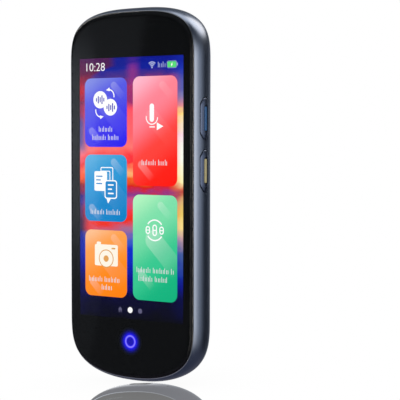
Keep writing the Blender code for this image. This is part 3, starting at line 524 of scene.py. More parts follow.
def display_material():
    """Lit liquid-crystal display: a glowing picture of a sunset sky over dark water."""
    screen = settings("screen")
    material, tree = start_material("lit_display")
    x, _, z, place = place_millimetres(tree)
    stretched = add_node(tree, "ShaderNodeMapping", {"Vector": place, "Scale": (0.06, 0.06, 0.14)})
    drift = add_node(tree, "ShaderNodeTexNoise", {"Vector": stretched.outputs[0], "Scale": 1.0,
                                                  "Detail": 3.0, "Roughness": 0.55})
    wave = math_node(tree, "MULTIPLY", math_node(tree, "SUBTRACT", drift.outputs[0], 0.5), WAVE_HEIGHT)
    height = add_node(tree, "ShaderNodeMapRange", {
        0: math_node(tree, "ADD", z, wave), 1: screen.bottom / MM, 2: screen.top / MM}).outputs[0]
    sky = ramp(tree, height, (
        (0.00, "#000008"), (0.08, "#02002e"), (0.16, "#020488"), (0.25, "#062cc8"), (0.30, "#3c5cc4"),
        (0.34, "#a86a90"), (0.385, "#f02c14"), (0.42, "#f23440"), (0.45, "#c84c84"), (0.475, "#80388c"),
        (0.50, "#d8180c"), (0.53, "#f46420"), (0.555, "#ffb474"), (0.60, "#fc2834"), (0.66, "#fe7670"),
        (0.79, "#ff4c60"), (0.83, "#98286e"), (0.90, "#a02c68"), (0.93, "#4a2c84"), (0.965, "#081c96"),
        (1.00, "#04128c")))
    right = add_node(tree, "ShaderNodeMapRange", {0: x, 1: 16.0, 2: 21.5}).outputs[0]
    glow = ramp(tree, height, (
        (0.00, "#000014"), (0.09, "#020648"), (0.15, "#081488"), (0.20, "#12309c"), (0.26, "#425c9c"),
        (0.30, "#c49ca0"), (0.36, "#f8dc88"), (0.40, "#e8c864"), (0.45, "#dcb074"), (0.475, "#bc443c"),
        (0.50, "#e07c58"), (0.53, "#fff2b0"), (0.61, "#fcfff2"), (0.68, "#faf4ee"), (0.72, "#fcdae8"),
        (0.76, "#fae4c4"), (0.785, "#ffde80"), (0.81, "#e08c94"), (0.85, "#7a78b0"), (0.90, "#444caa"),
        (0.95, "#1830b0"), (1.00, "#0c209c")))
    edge = math_node(tree, "MULTIPLY", math_node(tree, "MAXIMUM", math_node(
        tree, "SUBTRACT", height, 0.92), 0.0), 150)
    left = smooth_step(tree, math_node(tree, "SUBTRACT", x, edge), -17.5, -22.0)
    dusk = ramp(tree, height, (
        (0.00, "#010012"), (0.10, "#020040"), (0.20, "#020688"), (0.28, "#041ca4"), (0.335, "#1c2086"),
        (0.365, "#341238"), (0.40, "#582662"), (0.45, "#362c8c"), (0.475, "#20187e"), (0.50, "#90141a"),
        (0.53, "#f8582c"), (0.56, "#ff604a"), (0.585, "#ea323a"), (0.62, "#f8727e"), (0.66, "#a86e96"),
        (0.70, "#645298"), (0.76, "#524692"), (0.79, "#962456"), (0.82, "#6a124a"), (0.855, "#c00a1e"),
        (0.90, "#ae102a"), (0.95, "#640440"), (1.00, "#4a1450")))
    picture = mix_colours(tree, right, sky, glow)
    picture = mix_colours(tree, left, picture, dusk)
    streak = math_node(tree, "ABSOLUTE", math_node(tree, "SUBTRACT", x, 1.0))
    reach = math_node(tree, "MULTIPLY", smooth_step(tree, height, 1.02, 0.95),
                      smooth_step(tree, height, 0.86, 0.92, 0.0, 0.5))
    streak = math_node(tree, "MULTIPLY", smooth_step(tree, streak, 4.0, 0.0), reach)
    picture = mix_colours(tree, streak, picture, hex_colour("#a82c84"))
    return finish_material(material, "ShaderNodeEmission", {"Color": picture, "Strength": screen.glow})


def light_material(name, value, strength=None):
    """A single glowing colour on the display."""
    material, tree = start_material(name)
    return finish_material(material, "ShaderNodeEmission", {
        "Color": hex_colour(value), "Strength": settings("screen").glow if strength is None else strength})


def tile_material(name, box, stops, streaks):
    """A glowing tile: its colour deepens from the upper left down, and soft light streaks cross it."""
    left, right, bottom, top = box
    material, tree = start_material(name)
    x, _, z, _ = place_millimetres(tree)
    down = add_node(tree, "ShaderNodeMapRange", {0: z, 1: top, 2: bottom}).outputs[0]
    across = add_node(tree, "ShaderNodeMapRange", {0: x, 1: left, 2: right}).outputs[0]
    share = math_node(tree, "ADD", math_node(tree, "MULTIPLY", down, 0.74),
                      math_node(tree, "MULTIPLY", across, 0.26))
    picture = ramp(tree, share, stops, "EASE")
    for start_x, start_z, radius, reach, strength in streaks:
        to_x = math_node(tree, "SUBTRACT", x, start_x)
        to_z = math_node(tree, "SUBTRACT", start_z, z)
        along = math_node(tree, "MULTIPLY", math_node(tree, "ADD", to_x, to_z), math.sqrt(0.5))
        off = math_node(tree, "MULTIPLY", math_node(tree, "SUBTRACT", to_x, to_z), math.sqrt(0.5))
        cap = math_node(tree, "MINIMUM", along, 0.0)
        distance = math_node(tree, "SQRT", math_node(
            tree, "ADD", math_node(tree, "MULTIPLY", off, off), math_node(tree, "MULTIPLY", cap, cap)))
        inside = add_node(tree, "ShaderNodeMapRange", {0: distance, 1: radius, 2: radius - 0.35}).outputs[0]
        fade = add_node(tree, "ShaderNodeMapRange", {0: along, 1: reach, 2: -radius, 3: 0.0, 4: strength})
        amount = math_node(tree, "MULTIPLY", inside, fade.outputs[0], clamp=True)
        picture = mix_colours(tree, amount, picture, (1, 1, 1, 1))
    return finish_material(material, "ShaderNodeEmission", {
        "Color": picture, "Strength": settings("screen").glow})


# Tiles of the start page in millimetres: left, right, bottom and top, colour stops and streaks
TILES = {
    "tile_talk": ((-20.1, -1.5, 82.7, 107.0),
                  ((0.0, "#828ee2"), (0.35, "#5254e4"), (0.7, "#3a30ec"), (1.0, "#2012f0")),
                  ((-7.2, 104.3, 1.5, 6, 0.16), (-17.0, 88.3, 1.5, 6, 0.18), (-10.4, 97.2, 3.6, 13, 0.06))),
    "tile_meeting": ((-20.1, -1.5, 56.3, 80.0),
                     ((0.0, "#5cb0de"), (0.35, "#2a98d6"), (0.7, "#0e86ca"), (1.0, "#0480c6")),
                     ((-7.2, 77.3, 1.5, 6, 0.20), (-17.0, 61.0, 1.5, 6, 0.22), (-10.8, 69.6, 4.0, 13, 0.06))),
    "tile_photo": ((-20.0, -1.5, 29.6, 53.2),
                   ((0.0, "#fcc090"), (0.3, "#ffa04a"), (0.65, "#ff8a16"), (1.0, "#ff8000")),
                   ((-7.2, 50.6, 1.5, 6, 0.16), (-16.6, 34.6, 1.5, 6, 0.20), (-10.4, 43.4, 3.6, 12, 0.10))),
    "tile_record": ((1.1, 19.8, 69.3, 107.2),
                    ((0.0, "#ffbcd0"), (0.3, "#ff8494"), (0.62, "#ff4038"), (0.85, "#ff1a0a"),
                     (1.0, "#ff1000")),
                    ((13.6, 104.0, 1.5, 6, 0.10), (4.6, 76.6, 1.5, 7, 0.20), (9.3, 93.0, 3.0, 12, 0.06))),
    "tile_exchange": ((1.1, 19.8, 29.4, 66.2),
                      ((0.0, "#b6f6c2"), (0.3, "#7ce0aa"), (0.62, "#36c890"), (0.85, "#10b47e"),
                       (1.0, "#0ab07a")),
                      ((12.9, 62.6, 1.5, 6, 0.20), (4.6, 38.8, 1.5, 7, 0.28), (9.9, 50.6, 3.6, 15, 0.22))),
}


def screen_depth(layer):
    """Front and back depth of a layer of the picture, counted from the display's face outwards."""
    back = PANEL_LOW.y + settings("body").thickness / 2 - 0.01 * MM - layer * LAYER_STEP
    return back - LAYER, back


def flat(points, x, z, layer, scale=MM):
    """A thin flat shape on the display from its outline in millimetres."""
    ring = [(a * scale, b * scale) for a, b in points]
    return sweep("shape", [face_ring(ring, x * scale, z * scale, d) for d in screen_depth(layer)])


def flat_band(outer, inner, x, z, layer):
    """A thin flat band between two outlines of equal count, in millimetres."""
    front, back = screen_depth(layer)
    rings = []
    for points, depth in ((outer, front), (outer, back), (inner, back), (inner, front)):
        rings.append(face_ring([(a * MM, b * MM) for a, b in points], x * MM, z * MM, depth))
    return sweep("shape", rings, closed=True)


def arc_points(radius, start, end, width, steps=14):
    """The outline of a thick arc, angles in degrees."""
    angles = [math.radians(start + (end - start) * k / steps) for k in range(steps + 1)]
    outer = [((radius + width / 2) * math.cos(a), (radius + width / 2) * math.sin(a)) for a in angles]
    inner = [((radius - width / 2) * math.cos(a), (radius - width / 2) * math.sin(a)) for a in angles]
    return outer + list(reversed(inner))


def arrow_head(x, z, heading, size):
    """A small triangle that points along a heading in degrees."""
    turn = math.radians(heading)
    points = []
    for away, radius in ((0, 1.0), (130, 0.9), (230, 0.9)):
        angle = turn + math.radians(away)
        points.append((x + size * radius * math.cos(angle), z + size * radius * math.sin(angle)))
    return points


TICK_PITCH, TICK_GAP, TICK_WIDTH = 0.60, 0.2, 0.24
TICK_HEIGHT, TALL_TICK_HEIGHT = 1.4, 1.95


def greeked_line(left, right, z):
    """A line of upright ticks of two heights that stands for a label's writing."""
    result, place, number = [], left, 0
    while place < right:
        tall = TALL_TICK_HEIGHT if number % 7 in (0, 3) else TICK_HEIGHT
        if number % 11 != 9:
            result.append(flat(rounded_rectangle(TICK_WIDTH, tall, 0.1, 2), place, z - 0.75 + tall / 2, 1))
        place += TICK_PITCH + (TICK_GAP if number % 2 else 0)
        number += 1
    return result


def talk_icon():
    """Two overlapping discs, each with a wave of sound, and two arrows round them."""
    shapes = [flat_band(circle(3.05, 40), circle(2.78, 40), -13.2, 99.4, 1),
              flat(circle(2.78, 40), -13.2, 99.4, 1), flat(circle(2.95, 40), -8.7, 96.7, 2)]
    marks = []
    for centre_x, centre_z, layer in ((-13.2, 99.4, 2), (-8.5, 96.6, 3)):
        for k, tall in enumerate((1.1, 2.3, 1.6, 2.7, 1.2)):
            marks.append(flat(rounded_rectangle(0.44, 1.15 * tall, 0.2, 3),
                              centre_x + (k - 2) * 0.82, centre_z, layer))
    for x, z, start, end, heading in ((-9.4, 100.6, -10, 95, 190), (-12.9, 95.6, 170, 275, 10)):
        shapes.append(flat(arc_points(2.3, start, end, 0.42), x, z, 1))
        tip = math.radians(end)
        shapes.append(flat(arrow_head(2.3 * math.cos(tip), 2.3 * math.sin(tip), heading, 1.0), x, z, 1))
    return shapes, marks


def meeting_icon():
    """A card with lines of writing, two more behind it and a speech bubble in front."""
    outer, inner = rounded_rectangle(5.6, 6.2, 0.6), rounded_rectangle(4.9, 5.5, 0.35)
    shapes = [flat_band(outer, inner, -10.3, 72.5, 1),
              flat_band(rounded_rectangle(4.2, 4.6, 0.5), rounded_rectangle(3.6, 4.0, 0.3), -10.9, 72.0, 1)]
    shapes.append(flat(rounded_rectangle(5.6, 7.0, 0.6), -13.0, 70.6, 2))
    bubble_outer = rounded_rectangle(5.5, 6.6, 1.0)
    bubble_inner = rounded_rectangle(4.7, 5.8, 0.7)
    shapes.append(flat_band(bubble_outer, bubble_inner, -8.5, 67.7, 4))
    shapes.append(flat(((-0.9, 0.2), (0.9, 0.2), (-0.3, -1.5)), -9.4, 64.2, 4))
    marks = [flat(rounded_rectangle(5.5, 6.6, 1.0), -8.5, 67.7, 3)]
    for k, wide in enumerate((2.9, 2.1, 2.7)):
        marks.append(flat(rounded_rectangle(wide, 0.42, 0.2, 3), -13.6 + (wide - 2.9) / 2,
                          72.3 - k * 1.3, 3))
    for k, wide in enumerate((2.6, 1.9, 2.6)):
        shapes.append(flat(rounded_rectangle(wide, 0.5, 0.24, 3), -8.5 + (wide - 2.6) / 2,
                           69.3 - k * 1.5, 4))
    return shapes, marks


def photo_icon():
    """A plain camera with a round lens."""
    shapes = [flat(rounded_rectangle(10.2, 7.6, 0.6), -10.6, 44.3, 1),
              flat(rounded_rectangle(1.9, 1.0, 0.4), -13.9, 48.5, 1),
              flat(circle(2.9, 48), -10.6, 43.1, 3)]
    marks = [flat_band(circle(3.25, 48), circle(2.9, 48), -10.6, 43.1, 2),
             flat(circle(1.15, 32), -10.6, 43.1, 4),
             flat(rounded_rectangle(1.7, 0.55, 0.2), -7.4, 46.8, 2)]
    return shapes, marks


def record_icon():
    """A microphone in its stand with a play mark."""
    shapes = [flat(rounded_rectangle(1.85, 6.3, 0.92), 9.2, 94.6, 2),
              flat(arc_points(2.4, 170, 360, 0.36), 9.2, 93.0, 1),
              flat(rounded_rectangle(2.4, 0.38, 0.18, 3), 9.3, 89.7, 1),
              flat(((-1.1, 1.35), (-1.1, -1.35), (1.6, 0)), 12.4, 89.9, 2)]
    return shapes, []


def exchange_icon():
    """Three coins of unequal height in a ring that is open at its sides."""
    shapes = [flat(arc_points(3.55, start, start + 110, 0.46, 20), 10.4, 54.0, 1) for start in (35, 215)]
    for offset, tall in ((-2.9, 2.8), (0.0, 4.0), (2.9, 2.8)):
        shapes.append(flat_band(rounded_rectangle(1.9, tall, 0.94), rounded_rectangle(1.0, tall - 0.9, 0.45),
                                10.4 + offset, 54.0, 1))
        shapes.append(flat(rounded_rectangle(1.5, 0.36, 0.17, 3), 10.4 + offset, 54.0, 2))
    return shapes, []


LABELS = {
    "tile_talk": ((-13.7, -8.0, 88.8), (-16.6, -4.8, 85.9)),
    "tile_meeting": ((-17.4, -4.2, 59.5),),
    "tile_photo": ((-18.2, -3.7, 35.5), (-12.5, -8.2, 32.7)),
    "tile_record": ((5.0, 15.8, 77.2),),
    "tile_exchange": ((2.8, 18.3, 39.8), (3.6, 15.6, 36.8)),
}
ICONS = {
    "tile_talk": (talk_icon, "#2c2eb4"),
    "tile_meeting": (meeting_icon, "#2288cc"),
    "tile_photo": (photo_icon, "#e0a058"),
    "tile_record": (record_icon, "#ff5048"),
    "tile_exchange": (exchange_icon, "#40d098"),
}


CLOCK_SIZE, CLOCK_THINNING = 4.15 * MM, 0.03 * MM
CLOCK_LEFT, CLOCK_FOOT = -20.2 * MM, 109.55 * MM


def clock_text():
    """The hour in plain figures, at the upper left of the display."""
    deselect()
    bpy.ops.object.text_add(rotation=(math.pi / 2, 0, 0))
    text = bpy.context.object
    text.data.body = "10:28"
    text.data.size = CLOCK_SIZE
    text.data.extrude = LAYER / 2
    text.data.offset = -CLOCK_THINNING
    text.data.resolution_u = 4
    bpy.ops.object.convert(target="MESH")
    text = bpy.context.object
    front, back = screen_depth(1)
    text.location = (CLOCK_LEFT, (front + back) / 2 - settings("body").thickness / 2, CLOCK_FOOT)
    bpy.ops.object.transform_apply(location=True, rotation=True, scale=True)
    return text


class TRANSLATOR_OT_display(bpy.types.Operator):
    """Light the display: its picture, status line, five tiles, their signs and the page marks"""

    bl_idname = "translator.display"
    bl_label = "Display"

    def execute(self, context):
        screen = settings("screen")
        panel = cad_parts["display_panel"]
        for slot in panel.material_slots:
            slot.material = display_material()

        white = light_material("white_pixels", "#ffffff")
        cream = light_material("cream_pixels", "#fff6e6")
        soft = light_material("soft_white_pixels", "#f4f4fb", screen.glow * 0.82)
        faint = light_material("faint_white_pixels", "#a8b0dc")
        for name, (box, stops, streaks) in TILES.items():
            left, right, bottom, top = box
            outline = rounded_rectangle(right - left, top - bottom, screen.tile_corner / MM, 10)
            tile = flat(outline, (left + right) / 2, (bottom + top) / 2, 0)
            tile.name = tile.data.name = name
            dress(tile, tile_material(f"{name}_light", box, stops, streaks))
            make, mark_colour = ICONS[name]
            shapes, marks = make()
            dress(join(f"{name}_sign", shapes), cream if name == "tile_photo" else white)
            if marks:
                dress(join(f"{name}_marks", marks), light_material(f"{name}_mark", mark_colour))
            ticks = [tick for line in LABELS[name] for tick in greeked_line(*line)]
            dress(join(f"{name}_label", ticks), soft)

        dress(join("status_clock", [clock_text()]), white)
        wifi = [flat(arc_points(r, 48, 132, 0.4), 9.25, 110.0, 1) for r in (0.8, 1.4, 2.0)]
        wifi.append(flat(circle(0.32, 16), 9.25, 110.15, 1))
        dress(join("status_line", wifi + greeked_line(11.9, 15.0, 110.8)), faint)
        cell = [flat(rounded_rectangle(3.6, 2.0, 0.5), 17.5, 110.95, 1)]
        dress(join("status_battery", cell), light_material("green_pixels", "#58dc78"))
        rim = [flat_band(rounded_rectangle(4.1, 2.5, 0.7), rounded_rectangle(3.85, 2.25, 0.6),
                         17.5, 110.95, 1),
               flat(rounded_rectangle(0.3, 1.0, 0.14, 3), 19.8, 110.95, 1)]
        dress(join("status_battery_rim", rim), faint)
        bolt = flat(((-0.4, -0.1), (0.3, 0.8), (0.1, 0.1), (0.45, 0.1), (-0.3, -0.8), (-0.1, -0.1)),
                    17.5, 110.95, 2)
        dress(join("status_bolt", [bolt]), white)

        home = [flat(((-0.95, -0.1), (0, 1.0), (0.95, -0.1), (0.62, -0.1), (0.62, -1.0), (0.25, -1.0),
                      (0.25, -0.35), (-0.25, -0.35), (-0.25, -1.0), (-0.62, -1.0), (-0.62, -0.1)),
                     -4.45, 25.45, 1),
                flat(circle(0.88, 24), 4.2, 25.45, 1)]
        dress(join("page_marks", home), light_material("grey_pixels", "#5e5c7a"))
        dress(join("page_mark_active", [flat(circle(1.05, 28), -0.12, 25.5, 1)]), white)
        return {"FINISHED"}


TOUCH_GLOW = 1.1
GLOW_REACH = 5.0
TOUCH_SHIFT = -0.15 * MM


def glow_material():
    """Blue light that comes through the print: a bright thin ring in a soft round glow."""
    screen = settings("screen")
    material, tree = start_material("touch_ring_light")
    x, _, z, _ = place_millimetres(tree)
    up = math_node(tree, "SUBTRACT", z, screen.touch_height / MM)
    radius = math_node(tree, "SQRT", math_node(tree, "ADD", math_node(tree, "MULTIPLY", x, x),
                                               math_node(tree, "MULTIPLY", up, up)))
    share = add_node(tree, "ShaderNodeMapRange", {0: radius, 1: 0.0, 2: GLOW_REACH}).outputs[0]
    ring = screen.touch_radius / MM / GLOW_REACH
    light = ramp(tree, share, (
        (0.00, "#1812a8"), (ring - 0.14, "#1a12b4"), (ring - 0.075, "#2a22e8"), (ring - 0.03, "#8478ff"),
        (ring + 0.03, "#8478ff"), (ring + 0.08, "#2018f0"), (ring + 0.16, "#1410c8"),
        (ring + 0.30, "#0a0a70"), (ring + 0.44, "#060828"), (0.99, "#020306")))
    return finish_material(material, "ShaderNodeEmission", {"Color": light, "Strength": TOUCH_GLOW})


class TRANSLATOR_OT_touch_ring(bpy.types.Operator):
    """Light the round touch mark under the display"""

    bl_idname = "translator.touch_ring"
    bl_label = "Touch ring"

    def execute(self, context):
        body, screen = settings("body"), settings("screen")
        back = body.glass_thickness + 0.015 * MM
        disc = turned("touch_glow", [(GLOW_REACH * MM, depth) for depth in (back - 0.01 * MM, back)],
                      TOUCH_SHIFT, screen.touch_height, 64)
        dress(disc, glow_material())
        return {"FINISHED"}


# Painted body


def paint_material(name):
    """Metallic car paint on aluminium: fine flakes under a clear coat that softens every light."""
    colours = settings("colours")
    material, tree = start_material(name)
    _, _, _, place = place_millimetres(tree)
    # Flakes are about 0.03 mm wide; they are drawn 0.25 mm wide so that they show.
    flakes = add_node(tree, "ShaderNodeTexVoronoi", {"Vector": place, "Scale": 4.0})
    tone = add_node(tree, "ShaderNodeMapRange", {0: add_node(
        tree, "ShaderNodeSeparateColor", {0: flakes.outputs["Color"]}).outputs[0],
        3: 0.94, 4: 1.06}).outputs[0]
    base = add_node(tree, "ShaderNodeVectorMath", {0: tuple(colours.body), "Scale": tone},
                    operation="SCALE").outputs[0]
    peel = add_node(tree, "ShaderNodeTexNoise", {"Vector": place, "Scale": 5.0, "Detail": 2.0})
    bump = add_node(tree, "ShaderNodeBump", {
        "Height": peel.outputs[0], "Distance": 0.0012 * MM, "Strength": 1.0}).outputs[0]
    return finish_material(material, "ShaderNodeBsdfPrincipled", {
        "Base Color": base, "Metallic": 1.0, "Roughness": 0.30, "Normal": bump,
        "Coat Weight": 0.35, "Coat Roughness": 0.12})


KEY_CLEARANCE = 0.25 * MM
KEY_CROWN = 0.55 * MM
KEY_TIP_DROP = 0.22 * MM
KEY_CORNER = 0.0008
GROOVE_MARGIN = 0.5 * MM
STRIP_CORNER_CUT = 0.15 * MM


def key_outline(size, width, taper, tip_width, radius, steps=5):
    """A long eight-sided outline with tapered ends and round corners, a along and b across."""
    corners = [Vector(c) for c in (
        (size / 2, tip_width / 2), (size / 2 - taper, width / 2), (taper - size / 2, width / 2),
        (-size / 2, tip_width / 2), (-size / 2, -tip_width / 2), (taper - size / 2, -width / 2),
        (size / 2 - taper, -width / 2), (size / 2, -tip_width / 2))]
    points = []
    for k, corner in enumerate(corners):
        before = corner + (corners[k - 1] - corner).normalized() * radius
        after = corner + (corners[(k + 1) % len(corners)] - corner).normalized() * radius
        for step in range(steps + 1):
            share = step / steps
            points.append(before.lerp(corner, share).lerp(corner.lerp(after, share), share))
    return points


def key_shape(margin=0.0):
    keys = settings("keys")
    return key_outline(keys.length + 2 * margin, keys.width + 2 * margin, keys.taper,
                       keys.tip_width + margin, KEY_CORNER)


def strip_shape(margin=0.0):
    """The outline of a key's strip, wider by a margin on each side."""
    keys = settings("keys")
    return rounded_rectangle(keys.strip_length + 2 * margin, keys.strip_width + 2 * margin,
                             keys.strip_width / 2 - STRIP_CORNER_CUT + margin, 10)


def key_crown(points, face, z):
    """Points of a key's face laid on its gentle crown, which falls off to the sides and to the tips."""
    keys = settings("keys")
    flat_reach = keys.length / 2 - keys.taper
    ring = []
    for point, (a, b) in zip(side_ring(points, face, z, keys.depth), points):
        tip = max(0, abs(a) - flat_reach) / keys.taper
        point.x -= KEY_CROWN * (2 * b / keys.width) ** 2 + KEY_TIP_DROP * tip ** 2
        ring.append(point)
    return ring


# The lip round the glass, and the shelf that juts in from the frame's wall
LIP_INSET, LIP_OVERLAP = 0.00155, 0.0001
SHELF_FRONT, SHELF_BACK, SHELF_WIDTH = 0.0016, 0.00385, 0.0025
FRAME_FRONT_STEPS, FRAME_REAR_STEPS = 20, 14
RIM_TILT = 13
RIM_HEIGHT = 0.3 * MM
MICROPHONE_RADIUS = 0.4 * MM


class TRANSLATOR_OT_frame(bpy.types.Operator):
    """Build the painted side frame with its key openings, socket opening and microphone holes"""

    bl_idname = "translator.frame"
    bl_label = "Side frame"

    def execute(self, context):
        body, keys = settings("body"), settings("keys")
        lip = front_depth(LIP_INSET - LIP_OVERLAP)
        shelf = body.wall + SHELF_WIDTH
        inner = ((body.wall, body.seam_depth), (body.wall, SHELF_BACK), (shelf, SHELF_BACK),
                 (shelf, SHELF_FRONT), (LIP_INSET, SHELF_FRONT), (LIP_INSET, lip + 0.05 * MM))
        rings = surface_rings(lip, body.front_depth, FRAME_FRONT_STEPS)
        rings += surface_rings(body.thickness - body.rear_depth, body.seam_depth - 0.08 * MM,
                               FRAME_REAR_STEPS)[1:]
        rings.append(outline_ring(edge_inset(body.seam_depth) + 0.06 * MM, body.seam_depth))
        rings += [outline_ring(inset, depth) for inset, depth in inner]
        side = sweep("side_frame_painted", rings, closed=True)

        # The rim fills the gap between glass and paint; its narrow face leans outwards.
        rim_inset, paint_inset = body.glass_inset - 0.01 * MM, edge_inset(lip)
        lean = (rim_inset - paint_inset) * math.tan(math.radians(RIM_TILT))
        corners = ((rim_inset, lip + RIM_HEIGHT), (rim_inset, lip - lean), (paint_inset, lip),
                   (paint_inset, lip + 0.02 * MM), (LIP_INSET, lip + 0.05 * MM),
                   (LIP_INSET, lip + RIM_HEIGHT))
        rim = sweep("glass_rim", [outline_ring(*corner) for corner in corners], closed=True)
        smooth(rim, 20)
        # Aluminium with a diamond-turned edge: a hairline that stays bright beside the paint.
        turned_edge = principled("diamond_turned_edge", "#e0e2e6", 0.16, 1.0, grain=(0.3, 0.001))
        dress(rim, turned_edge)

        tools = []
        surface = body.half_width
        stations = ((KEY_CLEARANCE, surface - body.wall - 0.3 * MM),
                    (KEY_CLEARANCE, surface - 0.12 * MM),
                    (KEY_CLEARANCE + 0.12 * MM, surface + 0.2 * MM))
        for z in (keys.upper_height, keys.lower_height):
            tools.append(sweep("opening", [side_ring(key_shape(margin), x, z, keys.depth)
                                           for margin, x in stations]))
        low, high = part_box("usb_socket_shell")
        middle = ((low.x + high.x) / 2, (low.y + high.y) / 2)
        wide, tall = high.x - low.x, high.y - low.y
        rings = []
        for margin, z in ((0.7 * MM, -0.1 * MM), (0.3 * MM, 0.25 * MM), (0.3 * MM, 3.2 * MM)):
            points = rounded_rectangle(wide + 2 * margin, tall + 2 * margin,
                                       tall / 2 + margin - 0.1 * MM, 10)
            rings.append(end_ring(points, *middle, z))
        tools.append(sweep("opening", rings))
        upper_end = (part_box("upper_microphone")[1].z, body.height + 1 * MM)
        for node, reach in (("lower_microphone", (-1 * MM, 5 * MM)), ("upper_microphone", upper_end)):
            low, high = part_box(node)
            middle = ((low.x + high.x) / 2, (low.y + high.y) / 2)
            hole = circle(MICROPHONE_RADIUS, 20)
            tools.append(sweep("opening", [end_ring(hole, *middle, z) for z in reach]))
        cut(side, tools)
        smooth(side, 32)
        dress(side, paint_material("metallic_paint_frame"), replaces=["side_frame"])
        return {"FINISHED"}


# The speaker holes: each ring's radius in millimetres and its number of holes
GRILLE_RINGS = ((16.1, 48), (14.4, 48), (12.8, 48), (11.2, 48), (9.6, 24))
COVER_WALL, COVER_STEPS = 0.0012, 22
SKIRT_GAP, SKIRT_WALL, SKIRT_CORNER, SKIRT_FRONT = 0.0003, 0.0009, 0.0021, 0.00955


class TRANSLATOR_OT_cover(bpy.types.Operator):
    """Build the painted rear cover with its speaker grille and camera opening"""

    bl_idname = "translator.cover"
    bl_label = "Rear cover"

    def execute(self, context):
        body, grille = settings("body"), settings("grille")
        start = body.seam_depth + body.seam_gap
        cover_inner = body.thickness - COVER_WALL
        skirt = body.wall + SKIRT_GAP
        inner = ((skirt + SKIRT_CORNER, cover_inner), (skirt + SKIRT_WALL, start),
                 (skirt + SKIRT_WALL, SKIRT_FRONT), (skirt, SKIRT_FRONT), (skirt, start))
        rings = [outline_ring(inset, depth) for inset, depth in inner]
        rings.append(outline_ring(edge_inset(start) + 0.10 * MM, start))
        rings += surface_rings(start + 0.10 * MM, body.thickness, COVER_STEPS, power=2)
        cover = sweep("rear_cover_painted", rings)

        surface = body.thickness
        stations = ((grille.hole_radius, cover_inner - 1 * MM),
                    (grille.hole_radius, surface - 0.07 * MM),
                    (grille.hole_radius + 0.16 * MM, surface + 0.09 * MM))
        drill = turned("drill", stations, 0, grille.height, grille.hole_sides)
        tools = []
        for number, (radius, count) in enumerate(GRILLE_RINGS):
            for k in range(count):
                angle = 2 * math.pi * (k + number % 2 / 2) / count
                place = (radius * MM * math.sin(angle), 0, radius * MM * math.cos(angle))
                tools.append(copy_piece(drill, place))
        bpy.data.objects.remove(drill, do_unlink=True)
        hole = grille.ring_radius + 0.12 * MM
        tools.append(turned("drill", ((hole, cover_inner - 1 * MM), (hole, surface - 0.08 * MM),
                                      (hole + 0.2 * MM, surface + 0.12 * MM)), 0, grille.height, 96))
        cut(cover, tools)
        smooth(cover, 28)
        dress(cover, paint_material("metallic_paint_cover"), replaces=["rear_cover"])

        mesh_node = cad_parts["speaker_mesh"]
        for slot in mesh_node.material_slots:
            slot.material = principled("black_woven_mesh", "#0b0c0e", 0.6, grain=(0.12, 0.02))
        return {"FINISHED"}


# A key's face grows from the strip outwards: each ring's share along and across, and its drop in mm
KEY_FACE = ((0.60, 0.20, 0), (0.72, 0.40, 0), (0.82, 0.60, 0), (0.91, 0.79, 0), (0.975, 0.94, 0),
            (0.99, 0.98, 0.012), (0.997, 0.995, 0.03), (1, 1, 0.06))
KEY_DEPTH, NECK_ALONG, NECK_ACROSS, BAR_THICKNESS = 1.75 * MM, 0.66, 0.32, 0.6 * MM
# The strip's rounded edge: each ring's inset and its depth under the strip's top
STRIP_EDGE = ((0, 0.10 * MM), (0.03 * MM, 0.04 * MM), (0.10 * MM, 0.005 * MM), (0.25 * MM, 0))


